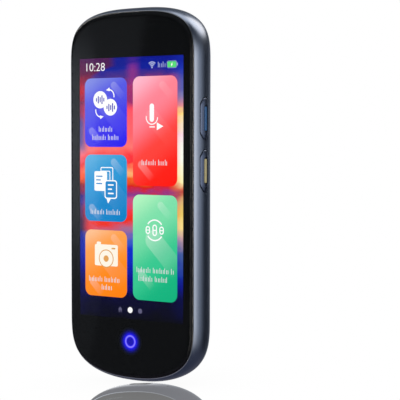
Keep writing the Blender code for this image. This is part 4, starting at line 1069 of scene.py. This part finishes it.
class TRANSLATOR_OT_keys(bpy.types.Operator):
    """Build the two side keys with their coloured strips"""

    bl_idname = "translator.keys"
    bl_label = "Side keys"

    def execute(self, context):
        body, keys, colours = settings("body"), settings("keys"), settings("colours")
        outline = key_shape()
        # Satin anodised aluminium of the body's colour: its bevels catch thin lines of light.
        metal = principled("anodised_key", (*colours.key, 1), 0.28, 1.0, grain=(0.12, 0.002), mottle=0.08)
        # Matt black rubber under the strip: it shows as a dark line round it.
        gasket = principled("black_rubber_bed", "#101216", 0.7, grain=(0.2, 0.002), mottle=0.1)
        face = body.half_width + keys.proud
        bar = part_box("upper_key_cap")[0].x
        for place, z, strip_colour in (("upper", keys.upper_height, colours.upper_strip),
                                       ("lower", keys.lower_height, colours.lower_strip)):
            rings = [key_crown([(a * along, b * across) for a, b in outline], face - drop * MM, z)
                     for along, across, drop in KEY_FACE]
            rings.append(side_ring(outline, face - KEY_DEPTH, z, keys.depth))
            bar_low, bar_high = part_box(f"{place}_switch_plunger")
            switch_depth = (bar_low.y + bar_high.y) / 2 + body.thickness / 2
            neck = [(a * NECK_ALONG, b * NECK_ACROSS) for a, b in outline]
            rings += [side_ring(neck, x, z, switch_depth) for x in (face - KEY_DEPTH, bar + BAR_THICKNESS)]
            cap = sweep(f"{place}_key", rings)
            groove, wide = strip_shape(GROOVE_MARGIN), strip_shape(GROOVE_MARGIN + 0.04 * MM)
            cut(cap, [sweep("groove", [side_ring(groove, face - 0.65 * MM, z, keys.depth),
                                       side_ring(groove, face - 0.10 * MM, z, keys.depth),
                                       side_ring(wide, face + 0.10 * MM, z, keys.depth)])])
            smooth(cap, 32)
            bar_low, bar_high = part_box(f"{place}_key_cap")
            ear = rounded_rectangle(bar_high.z - bar_low.z, 2.4 * MM, 0.3 * MM, 4)
            ears = sweep("ear", [side_ring(ear, x, z, switch_depth) for x in (bar, bar + BAR_THICKNESS)])
            cap = join(f"{place}_key", [cap, ears])
            dress(cap, metal, body=f"{place}_key", replaces=[f"{place}_key_cap"])

            floor = face - 0.66 * MM
            top = face - 0.04 * MM
            bed = sweep(f"{place}_key_bed", [side_ring(groove, x, z, keys.depth)
                                             for x in (floor, face - 0.5 * MM)])
            dress(bed, gasket, body=f"{place}_key")
            rings = [side_ring(strip_shape(), floor, z, keys.depth)]
            rings += [side_ring(strip_shape(-inset), top - drop, z, keys.depth) for inset, drop in STRIP_EDGE]
            inlay = sweep(f"{place}_strip", rings)
            smooth(inlay, 40)
            # Moulded plastic inlay: a clean bright colour with a soft gloss.
            plastic = principled(f"{place}_strip_plastic", (*strip_colour, 1), 0.32, mottle=0.05,
                                 grain=(0.4, 0.002))
            dress(inlay, plastic, body=f"{place}_key",
                  replaces=[f"{place}_key_strip"])
        return {"FINISHED"}


FLANGE_BACK, FLANGE_THICKNESS, FLANGE_REACH = 0.01185, 0.00045, 0.9 * MM
SEAT_DEPTH, SEAT_REACH = 0.00075, 1 * MM
WINDOW_THICKNESS = 0.0006
# The stepped baffle under the window: each step's outer and inner radius in millimetres
BAFFLE_STEPS = ((3.75, 3.05), (3.0, 2.3), (2.25, 1.35))
LENS_RADIUS = 1.3 * MM


class TRANSLATOR_OT_camera(bpy.types.Operator):
    """Build the rear camera: its silver ring, dark window and lens"""

    bl_idname = "translator.rear_camera"
    bl_label = "Rear camera"

    def execute(self, context):
        body, grille = settings("body"), settings("grille")
        surface = body.thickness
        outer, inner = grille.ring_radius, grille.ring_radius - grille.ring_wall
        flange, flange_front = FLANGE_BACK, FLANGE_BACK - FLANGE_THICKNESS
        window_back = surface - grille.window_sink
        seat = window_back - SEAT_DEPTH
        z = grille.height
        profile = (
            (outer, flange), (outer, surface - 0.10 * MM), (outer - 0.04 * MM, surface - 0.03 * MM),
            (outer - 0.12 * MM, surface), (inner + 0.22 * MM, surface),
            (inner + 0.08 * MM, surface - 0.04 * MM),
            (inner, surface - 0.14 * MM), (inner, seat), (inner - SEAT_REACH, seat),
            (inner - SEAT_REACH, flange_front), (outer + FLANGE_REACH, flange_front),
            (outer + FLANGE_REACH, flange))
        ring = turned("camera_bezel", profile, 0, z, 96, closed=True)
        smooth(ring, 25)
        # Polished and anodised aluminium: bright, with a faint grain 0.25 mm wide.
        silver = principled("turned_aluminium", "#e3e5e8", 0.24, 1.0, grain=(0.25, 0.001))
        dress(ring, silver, replaces=["camera_ring"])

        radius = inner - 0.1 * MM
        profile = [(radius, window_back - WINDOW_THICKNESS), (radius, window_back - 0.08 * MM),
                   (radius - 0.08 * MM, window_back)]
        window = turned("camera_glass", profile, 0, z, 96)
        smooth(window, 25)
        # Lightly tinted glass over the lens and the black baffle round it.
        glass = principled("tinted_window_glass", "#b8bcc0", 0.03,
                           **{"Transmission Weight": 1.0, "IOR": 1.4})
        dress(window, glass, replaces=["camera_window"])

        baffle = []
        for k, (large, small) in enumerate(BAFFLE_STEPS):
            depth = window_back - WINDOW_THICKNESS - (0.05 + 0.1 * k) * MM
            baffle.append(turned("baffle", ((large * MM, depth), (large * MM, depth - 0.08 * MM),
                                            (small * MM, depth - 0.16 * MM), (small * MM, depth - 0.06 * MM)),
                                 0, z, 64, closed=True))
        steps = join("camera_baffle", baffle)
        smooth(steps, 25)
        dress(steps, principled("black_anodised_baffle", "#25282b", 0.42, 0.3, grain=(0.2, 0.004)))

        low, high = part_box("camera_lens")
        base = low.y + body.thickness / 2
        top = window_back - WINDOW_THICKNESS - 0.12 * MM
        profile = [(LENS_RADIUS * math.cos(t), base + (top - base) * math.sin(t))
                   for t in (math.radians(a) for a in range(0, 89, 8))]
        lens = turned("camera_lens_dome", profile, 0, z, 48)
        smooth(lens, 60)
        # Multi-coated lens glass: nearly black and glossy.
        coat = principled("coated_lens", "#0a1018", 0.04, **{"Coat Weight": 1.0, "Coat Roughness": 0.02})
        dress(lens, coat, replaces=["camera_lens"])
        return {"FINISHED"}


def board_material():
    """Epoxy board with green solder mask: satin green with fine darker tracks."""
    material, tree = start_material("solder_mask_board")
    _, _, _, place = place_millimetres(tree)
    tracks = add_node(tree, "ShaderNodeTexBrick", {
        "Vector": add_node(tree, "ShaderNodeMapping", {
            "Vector": place, "Rotation": (math.pi / 2, 0, 0)}).outputs[0],
        "Color1": hex_colour("#1f6a43"), "Color2": hex_colour("#1b5f3c"), "Mortar": hex_colour("#2f8a58"),
        "Scale": 0.8, "Mortar Size": 0.05})
    return finish_material(material, "ShaderNodeBsdfPrincipled", {
        "Base Color": tracks.outputs[0], "Roughness": 0.4, "Coat Weight": 0.3})


class TRANSLATOR_OT_inner_parts(bpy.types.Operator):
    """Give the inner parts and the socket their finishes"""

    bl_idname = "translator.inner_parts"
    bl_label = "Inner parts and socket"

    def execute(self, context):
        steel = principled("stamped_steel", "#b9bcc2", 0.30, 1.0, grain=(0.3, 0.004), mottle=0.15)
        plate = principled("brushed_steel_plate", "#a4a8ae", 0.38, 1.0, grain=(0.15, 0.006), mottle=0.12)
        screw = principled("zinc_plated_screw", "#c4c8ce", 0.26, 1.0, grain=(0.2, 0.003))
        chip = principled("moulded_epoxy_chip", "#1d1e20", 0.52, grain=(0.1, 0.006), mottle=0.1)
        black = principled("moulded_black_plastic", "#141517", 0.5, grain=(0.2, 0.006), mottle=0.1)
        white = principled("diffuser_plastic", "#e4e6ea", 0.4, grain=(0.5, 0.003),
                           **{"Subsurface Weight": 0.2})
        foam = principled("open_cell_foam", "#222325", 0.95, grain=(0.25, 0.06), mottle=0.1)
        tape = principled("black_adhesive_tape", "#17181a", 0.7, grain=(0.4, 0.01), mottle=0.1)
        flex = principled("polyimide_flex", "#a8702a", 0.35, grain=(0.5, 0.003), mottle=0.12,
                          **{"Coat Weight": 0.5})
        foil = principled("laminated_battery_foil", "#8f959c", 0.36, 0.6, grain=(0.8, 0.02), mottle=0.2)
        finishes = {
            "glass_adhesive": tape, "display_backlight": white, "touch_light_guide": white,
            "touch_light": white, "mid_plate": plate, "processor": chip, "memory_chip": chip,
            "battery": foil, "speaker_driver": black, "speaker_gasket": foam, "camera_module": black,
            "aerial_carrier": black, "usb_socket_tongue": black, "usb_socket_shell": steel,
        }
        # Nodes not listed above go by the first of these words in their name, and the rest are steel.
        families = (("screw", screw), ("flex", flex), ("lead", flex), ("wifi_aerial", flex),
                    ("key_switch_board", flex), ("board", board_material()), ("plunger", black))
        for name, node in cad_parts.items():
            if node.hide_render or name in ("display_panel", "speaker_mesh"):
                continue
            material = finishes.get(name) or next((m for word, m in families if word in name), steel)
            for slot in node.material_slots:
                slot.material = material
        return {"FINISHED"}


# Studio


def visible_to(item, *rays):
    for ray in ("camera", "diffuse", "glossy", "transmission", "shadow"):
        setattr(item, f"visible_{ray}", ray in rays)


def polar(azimuth, distance, height):
    """A point round the object: azimuth 0 is in front of the screen and 90 is on the keys' side."""
    turn = math.radians(azimuth)
    return Vector((distance * math.sin(turn), -distance * math.cos(turn), height))


def add_lamp(name, azimuth, distance, height, width, tall, radiance):
    """A softbox that faces the object; gloss shows the surround in its stead."""
    deselect()
    place = polar(azimuth, distance, height)
    bpy.ops.object.light_add(type="AREA", location=place)
    lamp = bpy.context.object
    lamp.name = name
    lamp.data.shape = "RECTANGLE"
    lamp.data.size, lamp.data.size_y = width, tall
    lamp.data.energy = 4 * radiance * width * tall
    lamp.rotation_mode = "QUATERNION"
    lamp.rotation_quaternion = (place - Vector((0, 0, settings("body").height / 2))).to_track_quat("Z", "Y")
    visible_to(lamp, "diffuse", "shadow")


# The mirror board lies just under the object and leans a little, so that its picture starts level
FLOOR_DROP = 0.7 * MM
FLOOR_TILT = 4.3
CAMERA_AZIMUTH, CAMERA_RISE, CAMERA_ROLL = 33.103, 2.67, 0.117
FLOOR_MIRROR = 0.82
FLOOR_SIZE = 8
# Each lamp: name, azimuth, distance, height, width, length and brightness
LAMPS = (("softbox_right", 63, 0.9, 0.25, 0.4, 0.6, 2.2), ("softbox_top", 20, 0.4, 0.95, 0.5, 0.5, 1.0))
# The place of one point in the world and as the camera sees it, in millimetres
CAMERA_TARGET, CAMERA_OFFSET = (0, -0.6, 65.69), (-21.49, 1.676, -443.986)
SENSOR_WIDTH, FOCAL_PIXELS, PHOTO_PIXELS = 36, 1256.943, 400


def floor_material():
    """Polished white acrylic: white, with a clear mirror image and a faint soft shadow by the object."""
    backdrop = (*settings("colours").backdrop, 1)
    material, tree = start_material("polished_white_acrylic")
    shade = add_node(tree, "ShaderNodeAmbientOcclusion", {"Distance": 0.03}, samples=16)
    level = add_node(tree, "ShaderNodeMapRange", {0: shade.outputs["AO"], 3: 0.75, 4: 1.0}).outputs[0]
    ground = add_node(tree, "ShaderNodeEmission", {"Color": backdrop, "Strength": level}).outputs[0]
    mirror = add_node(tree, "ShaderNodeBsdfGlossy", {"Color": (1, 1, 1, 1), "Roughness": 0.0}).outputs[0]
    facing = add_node(tree, "ShaderNodeLayerWeight", {"Blend": 0.5}).outputs["Facing"]
    gloss = smooth_step(tree, facing, 0.25, 0.79, 0.06, FLOOR_MIRROR)
    return finish_material(material, "ShaderNodeMixShader", {0: gloss, 1: ground, 2: mirror})


# What gloss shows near the horizon and overhead, as azimuth in degrees and brightness
HORIZON = (
    (-180, 0.26), (-165, 0.25), (-151, 0.30), (-145, 1.0), (-138, 1.0), (-129, 0.05), (-95, 0.05),
    (-72, 0.20), (-42, 0.30), (-30, 0.27), (-16, 0.20), (4, 0.05), (10, 1.6), (18, 1.5), (24, 0.5),
    (34, 0.4), (42, 3.4), (52, 5.6), (76, 5.6), (86, 3.9), (98, 2.5), (108, 1.8), (118, 1.2), (126, 0.9),
    (133, 0.48), (139, 0.16), (144, 0.02), (151, 0.02), (157, 0.16), (168, 0.32), (180, 0.26))
OVERHEAD = (
    (-180, 0.5), (-172, 0.35), (-160, 0.25), (-150, 0.2), (-112, 0.2), (-100, 0.3), (-92, 2.4),
    (-80, 2.4), (-72, 0.3), (0, 0.3), (58, 0.10), (100, 0.14), (150, 0.3), (180, 0.6))
# A bright box overhead: its middle azimuth, and each edge's distance from there, lean and softness
BOX_MIDDLE, BOX_LEVEL = 150, 5.2
BOX_START, BOX_START_LEAN, BOX_START_SOFT = 21, -78, 32
BOX_END, BOX_END_LEAN, BOX_END_SOFT = 28, 48, 18
BOX_END_HEIGHT = 0.6
# Brightness near the horizon by the height of the way gloss looks: 0 is level, 1 straight up
RISE = (
    (-0.50, 0.12), (-0.40, 0.3), (-0.265, 0.42), (-0.127, 0.42), (-0.095, 0.52), (-0.062, 0.80),
    (-0.03, 0.97), (0.0, 1.0), (0.033, 0.95), (0.068, 0.80), (0.137, 0.58), (0.20, 0.30), (0.27, 0.09))
GROUND = "#727280"
ZENITH_LEVEL = 3.1
PEAK = 7.0
DIM_TINT, BRIGHT_TINT = "#dceaff", "#fff2e2"
PLAIN_LEVEL, WARM_LEVEL = 0.8, 4.5
# The reflected edge of a pale wall crosses the glass: its azimuth, its lean and its softness in degrees
WALL_EDGE, WALL_LEAN, WALL_SOFTNESS = -36.8, 0.197, 0.45
# A brighter panel on that wall: where it fades in and out by azimuth and by height
PANEL_AZIMUTHS = ((-38.2, -38.45), (-84, -62))
PANEL_RISES = ((-0.14, -0.06), (0.11, 0.04))
PANEL_LEVEL = 3.8
# Low down the light is paler, except on the keys' side
LOW_RISE, LOW_AZIMUTH, LOW_LEVEL = (-0.075, -0.14), (38, 28), 1.1
# Where the light near the horizon gives way to the ground, to the lights overhead and to the zenith
GROUND_EDGE, OVERHEAD_EDGE, ZENITH_EDGE = (-0.30, -0.55), (0.24, 0.46), (0.88, 1.0)


def lamp_colour(level):
    """The studio's light at a brightness: dim parts are bluish and the brightest are warm."""
    cool, plain, warm = (Vector(hex_colour(c)[:3]) for c in (DIM_TINT, "#ffffff", BRIGHT_TINT))
    if level < PLAIN_LEVEL:
        return level * cool.lerp(plain, level / PLAIN_LEVEL)
    return level * plain.lerp(warm, min(1, (level - PLAIN_LEVEL) / (WARM_LEVEL - PLAIN_LEVEL)))


def azimuth_ramp(tree, turn, stops):
    """The studio's light by azimuth, from -180 to 180 degrees."""
    share = add_node(tree, "ShaderNodeMapRange", {0: turn, 1: -math.pi, 2: math.pi}).outputs[0]
    node = add_node(tree, "ShaderNodeValToRGB", {"Fac": share})
    points = node.color_ramp.elements
    points.remove(points[-1])
    for k, (azimuth, level) in enumerate(stops):
        place = (azimuth + 180) / 360
        point = points[0] if k == 0 else points.new(place)
        point.position = place
        point.color = (*lamp_colour(level) / PEAK, 1)
    return add_node(tree, "ShaderNodeVectorMath", {0: node.outputs["Color"], "Scale": PEAK},
                    operation="SCALE").outputs[0]


def both_steps(tree, value, first, second):
    """The product of two smooth steps of one value, each over a (start, end) range."""
    return math_node(tree, "MULTIPLY", smooth_step(tree, value, *first), smooth_step(tree, value, *second))


def surround(tree):
    """The studio as gloss shows it: shaped lights round the horizon, a light overhead and a dark floor."""
    place = add_node(tree, "ShaderNodeTexCoord").outputs["Generated"]
    way = add_node(tree, "ShaderNodeSeparateXYZ", {0: place})
    rise = way.outputs["Z"]
    turn = math_node(tree, "ARCTAN2", way.outputs["X"], math_node(tree, "MULTIPLY", way.outputs["Y"], -1.0))
    horizon = azimuth_ramp(tree, turn, HORIZON)
    lean = math_node(tree, "SUBTRACT", turn, math_node(tree, "MULTIPLY", rise, WALL_LEAN))
    edge, soft = math.radians(WALL_EDGE), math.radians(WALL_SOFTNESS)
    wall = smooth_step(tree, lean, edge + soft / 2, edge - soft / 2)
    edges = [[math.radians(a) for a in pair] for pair in PANEL_AZIMUTHS]
    panel = math_node(tree, "MULTIPLY", both_steps(tree, turn, *edges), both_steps(tree, rise, *PANEL_RISES))
    pale = math_node(tree, "ADD", wall, math_node(tree, "MULTIPLY", panel, PANEL_LEVEL))
    low = math_node(tree, "MULTIPLY", smooth_step(tree, rise, *LOW_RISE),
                    smooth_step(tree, turn, *(math.radians(a) for a in LOW_AZIMUTH)))
    pale = math_node(tree, "ADD", pale, math_node(tree, "MULTIPLY", low, LOW_LEVEL))
    horizon = add_node(tree, "ShaderNodeVectorMath", {
        0: horizon, "Scale": math_node(tree, "ADD", pale, 1.0)}, operation="SCALE").outputs[0]
    height = add_node(tree, "ShaderNodeMapRange", {0: rise, 1: RISE[0][0], 2: RISE[-1][0]}).outputs[0]
    levels = add_node(tree, "ShaderNodeFloatCurve", {"Value": height})
    points = levels.mapping.curves[0].points
    for k, (place, level) in enumerate(RISE):
        place = (place - RISE[0][0]) / (RISE[-1][0] - RISE[0][0])
        if k in (0, len(RISE) - 1):
            points[0 if k == 0 else -1].location = (place, level)
        else:
            points.new(place, level)
    levels.mapping.update()
    horizon = add_node(tree, "ShaderNodeVectorMath", {
        0: horizon, "Scale": levels.outputs[0]}, operation="SCALE").outputs[0]
    behind = math_node(tree, "SUBTRACT", turn, math.radians(BOX_MIDDLE))
    behind = math_node(tree, "WRAP", behind, math.pi, -math.pi)
    start = math_node(tree, "ADD", math_node(tree, "MULTIPLY", rise, math.radians(BOX_START_LEAN)),
                      math.radians(BOX_START))
    under = math_node(tree, "MAXIMUM", math_node(tree, "SUBTRACT", BOX_END_HEIGHT, rise), 0.0)
    end = math_node(tree, "SUBTRACT", math.radians(BOX_END),
                    math_node(tree, "MULTIPLY", under, math.radians(BOX_END_LEAN)))
    inside = []
    for nearer, further, soft in ((behind, start, BOX_START_SOFT), (end, behind, BOX_END_SOFT)):
        reach = math.radians(soft) / 2
        inside.append(smooth_step(tree, math_node(tree, "SUBTRACT", nearer, further), -reach, reach))
    overhead = mix_colours(tree, math_node(tree, "MULTIPLY", *inside), azimuth_ramp(tree, turn, OVERHEAD),
                           (*lamp_colour(BOX_LEVEL), 1))
    tone = mix_colours(tree, smooth_step(tree, rise, *OVERHEAD_EDGE), horizon, overhead)
    zenith = (*lamp_colour(ZENITH_LEVEL), 1)
    tone = mix_colours(tree, smooth_step(tree, rise, *ZENITH_EDGE), tone, zenith)
    return mix_colours(tree, smooth_step(tree, rise, *GROUND_EDGE), tone, hex_colour(GROUND))


DIFFUSE_LEVEL = 0.62
INNER_REFLECTION = 0.08


def build_world():
    """White for the camera and clear mirrors, the shaped surround for gloss, a plain level for the rest."""
    world = bpy.data.worlds.new("white_studio")
    bpy.context.scene.world = world
    world.use_nodes = True
    world.cycles.sampling_method = "NONE"
    tree = world.node_tree
    tree.nodes.clear()
    output = tree.nodes.new("ShaderNodeOutputWorld")
    path = add_node(tree, "ShaderNodeLightPath")
    backdrop = (*settings("colours").backdrop, 1)
    white, gloss = (math_node(tree, "ADD", *(path.outputs[f"Is {ray} Ray"] for ray in rays), clamp=True)
                    for rays in (("Camera", "Singular"), ("Glossy", "Transmission")))
    # Light that has been inside glass and comes back out is weaker than its first reflection.
    level = math_node(tree, "SUBTRACT", 1.0, math_node(
        tree, "MULTIPLY", path.outputs["Is Transmission Ray"], 1 - INNER_REFLECTION))
    shown = add_node(tree, "ShaderNodeVectorMath", {0: surround(tree), "Scale": level},
                     operation="SCALE").outputs[0]
    seen = mix_colours(tree, gloss, (DIFFUSE_LEVEL, DIFFUSE_LEVEL, DIFFUSE_LEVEL, 1), shown)
    seen = mix_colours(tree, white, seen, backdrop)
    shader = add_node(tree, "ShaderNodeBackground", {"Color": seen, "Strength": 1.0})
    tree.links.new(shader.outputs[0], output.inputs["Surface"])


class TRANSLATOR_OT_studio(bpy.types.Operator):
    """Set up the white floor, the surround, the soft lights and the camera"""

    bl_idname = "translator.studio"
    bl_label = "Studio"

    def execute(self, context):
        build_world()
        deselect()
        bpy.ops.mesh.primitive_plane_add(size=FLOOR_SIZE, location=(0, 0, -FLOOR_DROP))
        floor = bpy.context.object
        floor.name = "floor"
        floor.rotation_mode = "AXIS_ANGLE"
        axis = polar(CAMERA_AZIMUTH, 1, 0)
        floor.rotation_axis_angle = (math.radians(FLOOR_TILT), *axis)
        floor.data.materials.append(floor_material())
        visible_to(floor, "camera")

        for lamp in LAMPS:
            add_lamp(*lamp)

        turn, rise, roll = (math.radians(a) for a in (CAMERA_AZIMUTH, CAMERA_RISE, CAMERA_ROLL))
        back = Vector((math.sin(turn) * math.cos(rise), -math.cos(turn) * math.cos(rise), math.sin(rise)))
        right = Vector((math.cos(turn), math.sin(turn), 0))
        up = back.cross(right)
        right, up = (right * math.cos(roll) + up * math.sin(roll),
                     up * math.cos(roll) - right * math.sin(roll))
        centre, offset = Vector(CAMERA_TARGET) * MM, Vector(CAMERA_OFFSET) * MM
        bpy.ops.object.camera_add()
        camera = bpy.context.object
        camera.location = centre - right * offset.x - up * offset.y - back * offset.z
        camera.rotation_mode = "QUATERNION"
        camera.rotation_quaternion = Matrix((right, up, back)).transposed().to_quaternion()
        camera.data.sensor_width = SENSOR_WIDTH
        camera.data.lens = SENSOR_WIDTH * FOCAL_PIXELS / PHOTO_PIXELS
        camera.data.clip_start = 0.01
        context.scene.camera = camera
        context.scene.view_settings.view_transform = "Standard"
        return {"FINISHED"}


OPERATORS = (
    TRANSLATOR_OT_glass,
    TRANSLATOR_OT_display,
    TRANSLATOR_OT_touch_ring,
    TRANSLATOR_OT_frame,
    TRANSLATOR_OT_cover,
    TRANSLATOR_OT_keys,
    TRANSLATOR_OT_camera,
    TRANSLATOR_OT_inner_parts,
    TRANSLATOR_OT_studio,
)


class TRANSLATOR_PT_panel(bpy.types.Panel):
    """The translator's pieces and sizes"""

    bl_idname = "TRANSLATOR_PT_panel"
    bl_label = "Handheld translator"
    bl_space_type = "VIEW_3D"
    bl_region_type = "UI"
    bl_category = "Translator"

    def draw(self, context):
        for operator in OPERATORS:
            self.layout.operator(operator.bl_idname)
        for name, group in GROUPS.items():
            box = self.layout.box()
            box.label(text=group.__doc__)
            for key in group.__annotations__:
                box.prop(getattr(context.scene, name), key)


CLASSES = (*GROUPS.values(), *OPERATORS, TRANSLATOR_PT_panel)


def register():
    for item in CLASSES:
        bpy.utils.register_class(item)
    for name, group in GROUPS.items():
        setattr(bpy.types.Scene, name, PointerProperty(type=group))


def unregister():
    for name in GROUPS:
        delattr(bpy.types.Scene, name)
    for item in reversed(CLASSES):
        bpy.utils.unregister_class(item)


def main():
    register()
    for operator in OPERATORS:
        category, name = operator.bl_idname.split(".")
        getattr(getattr(bpy.ops, category), name)()


if __name__ == "__main__":
    main()
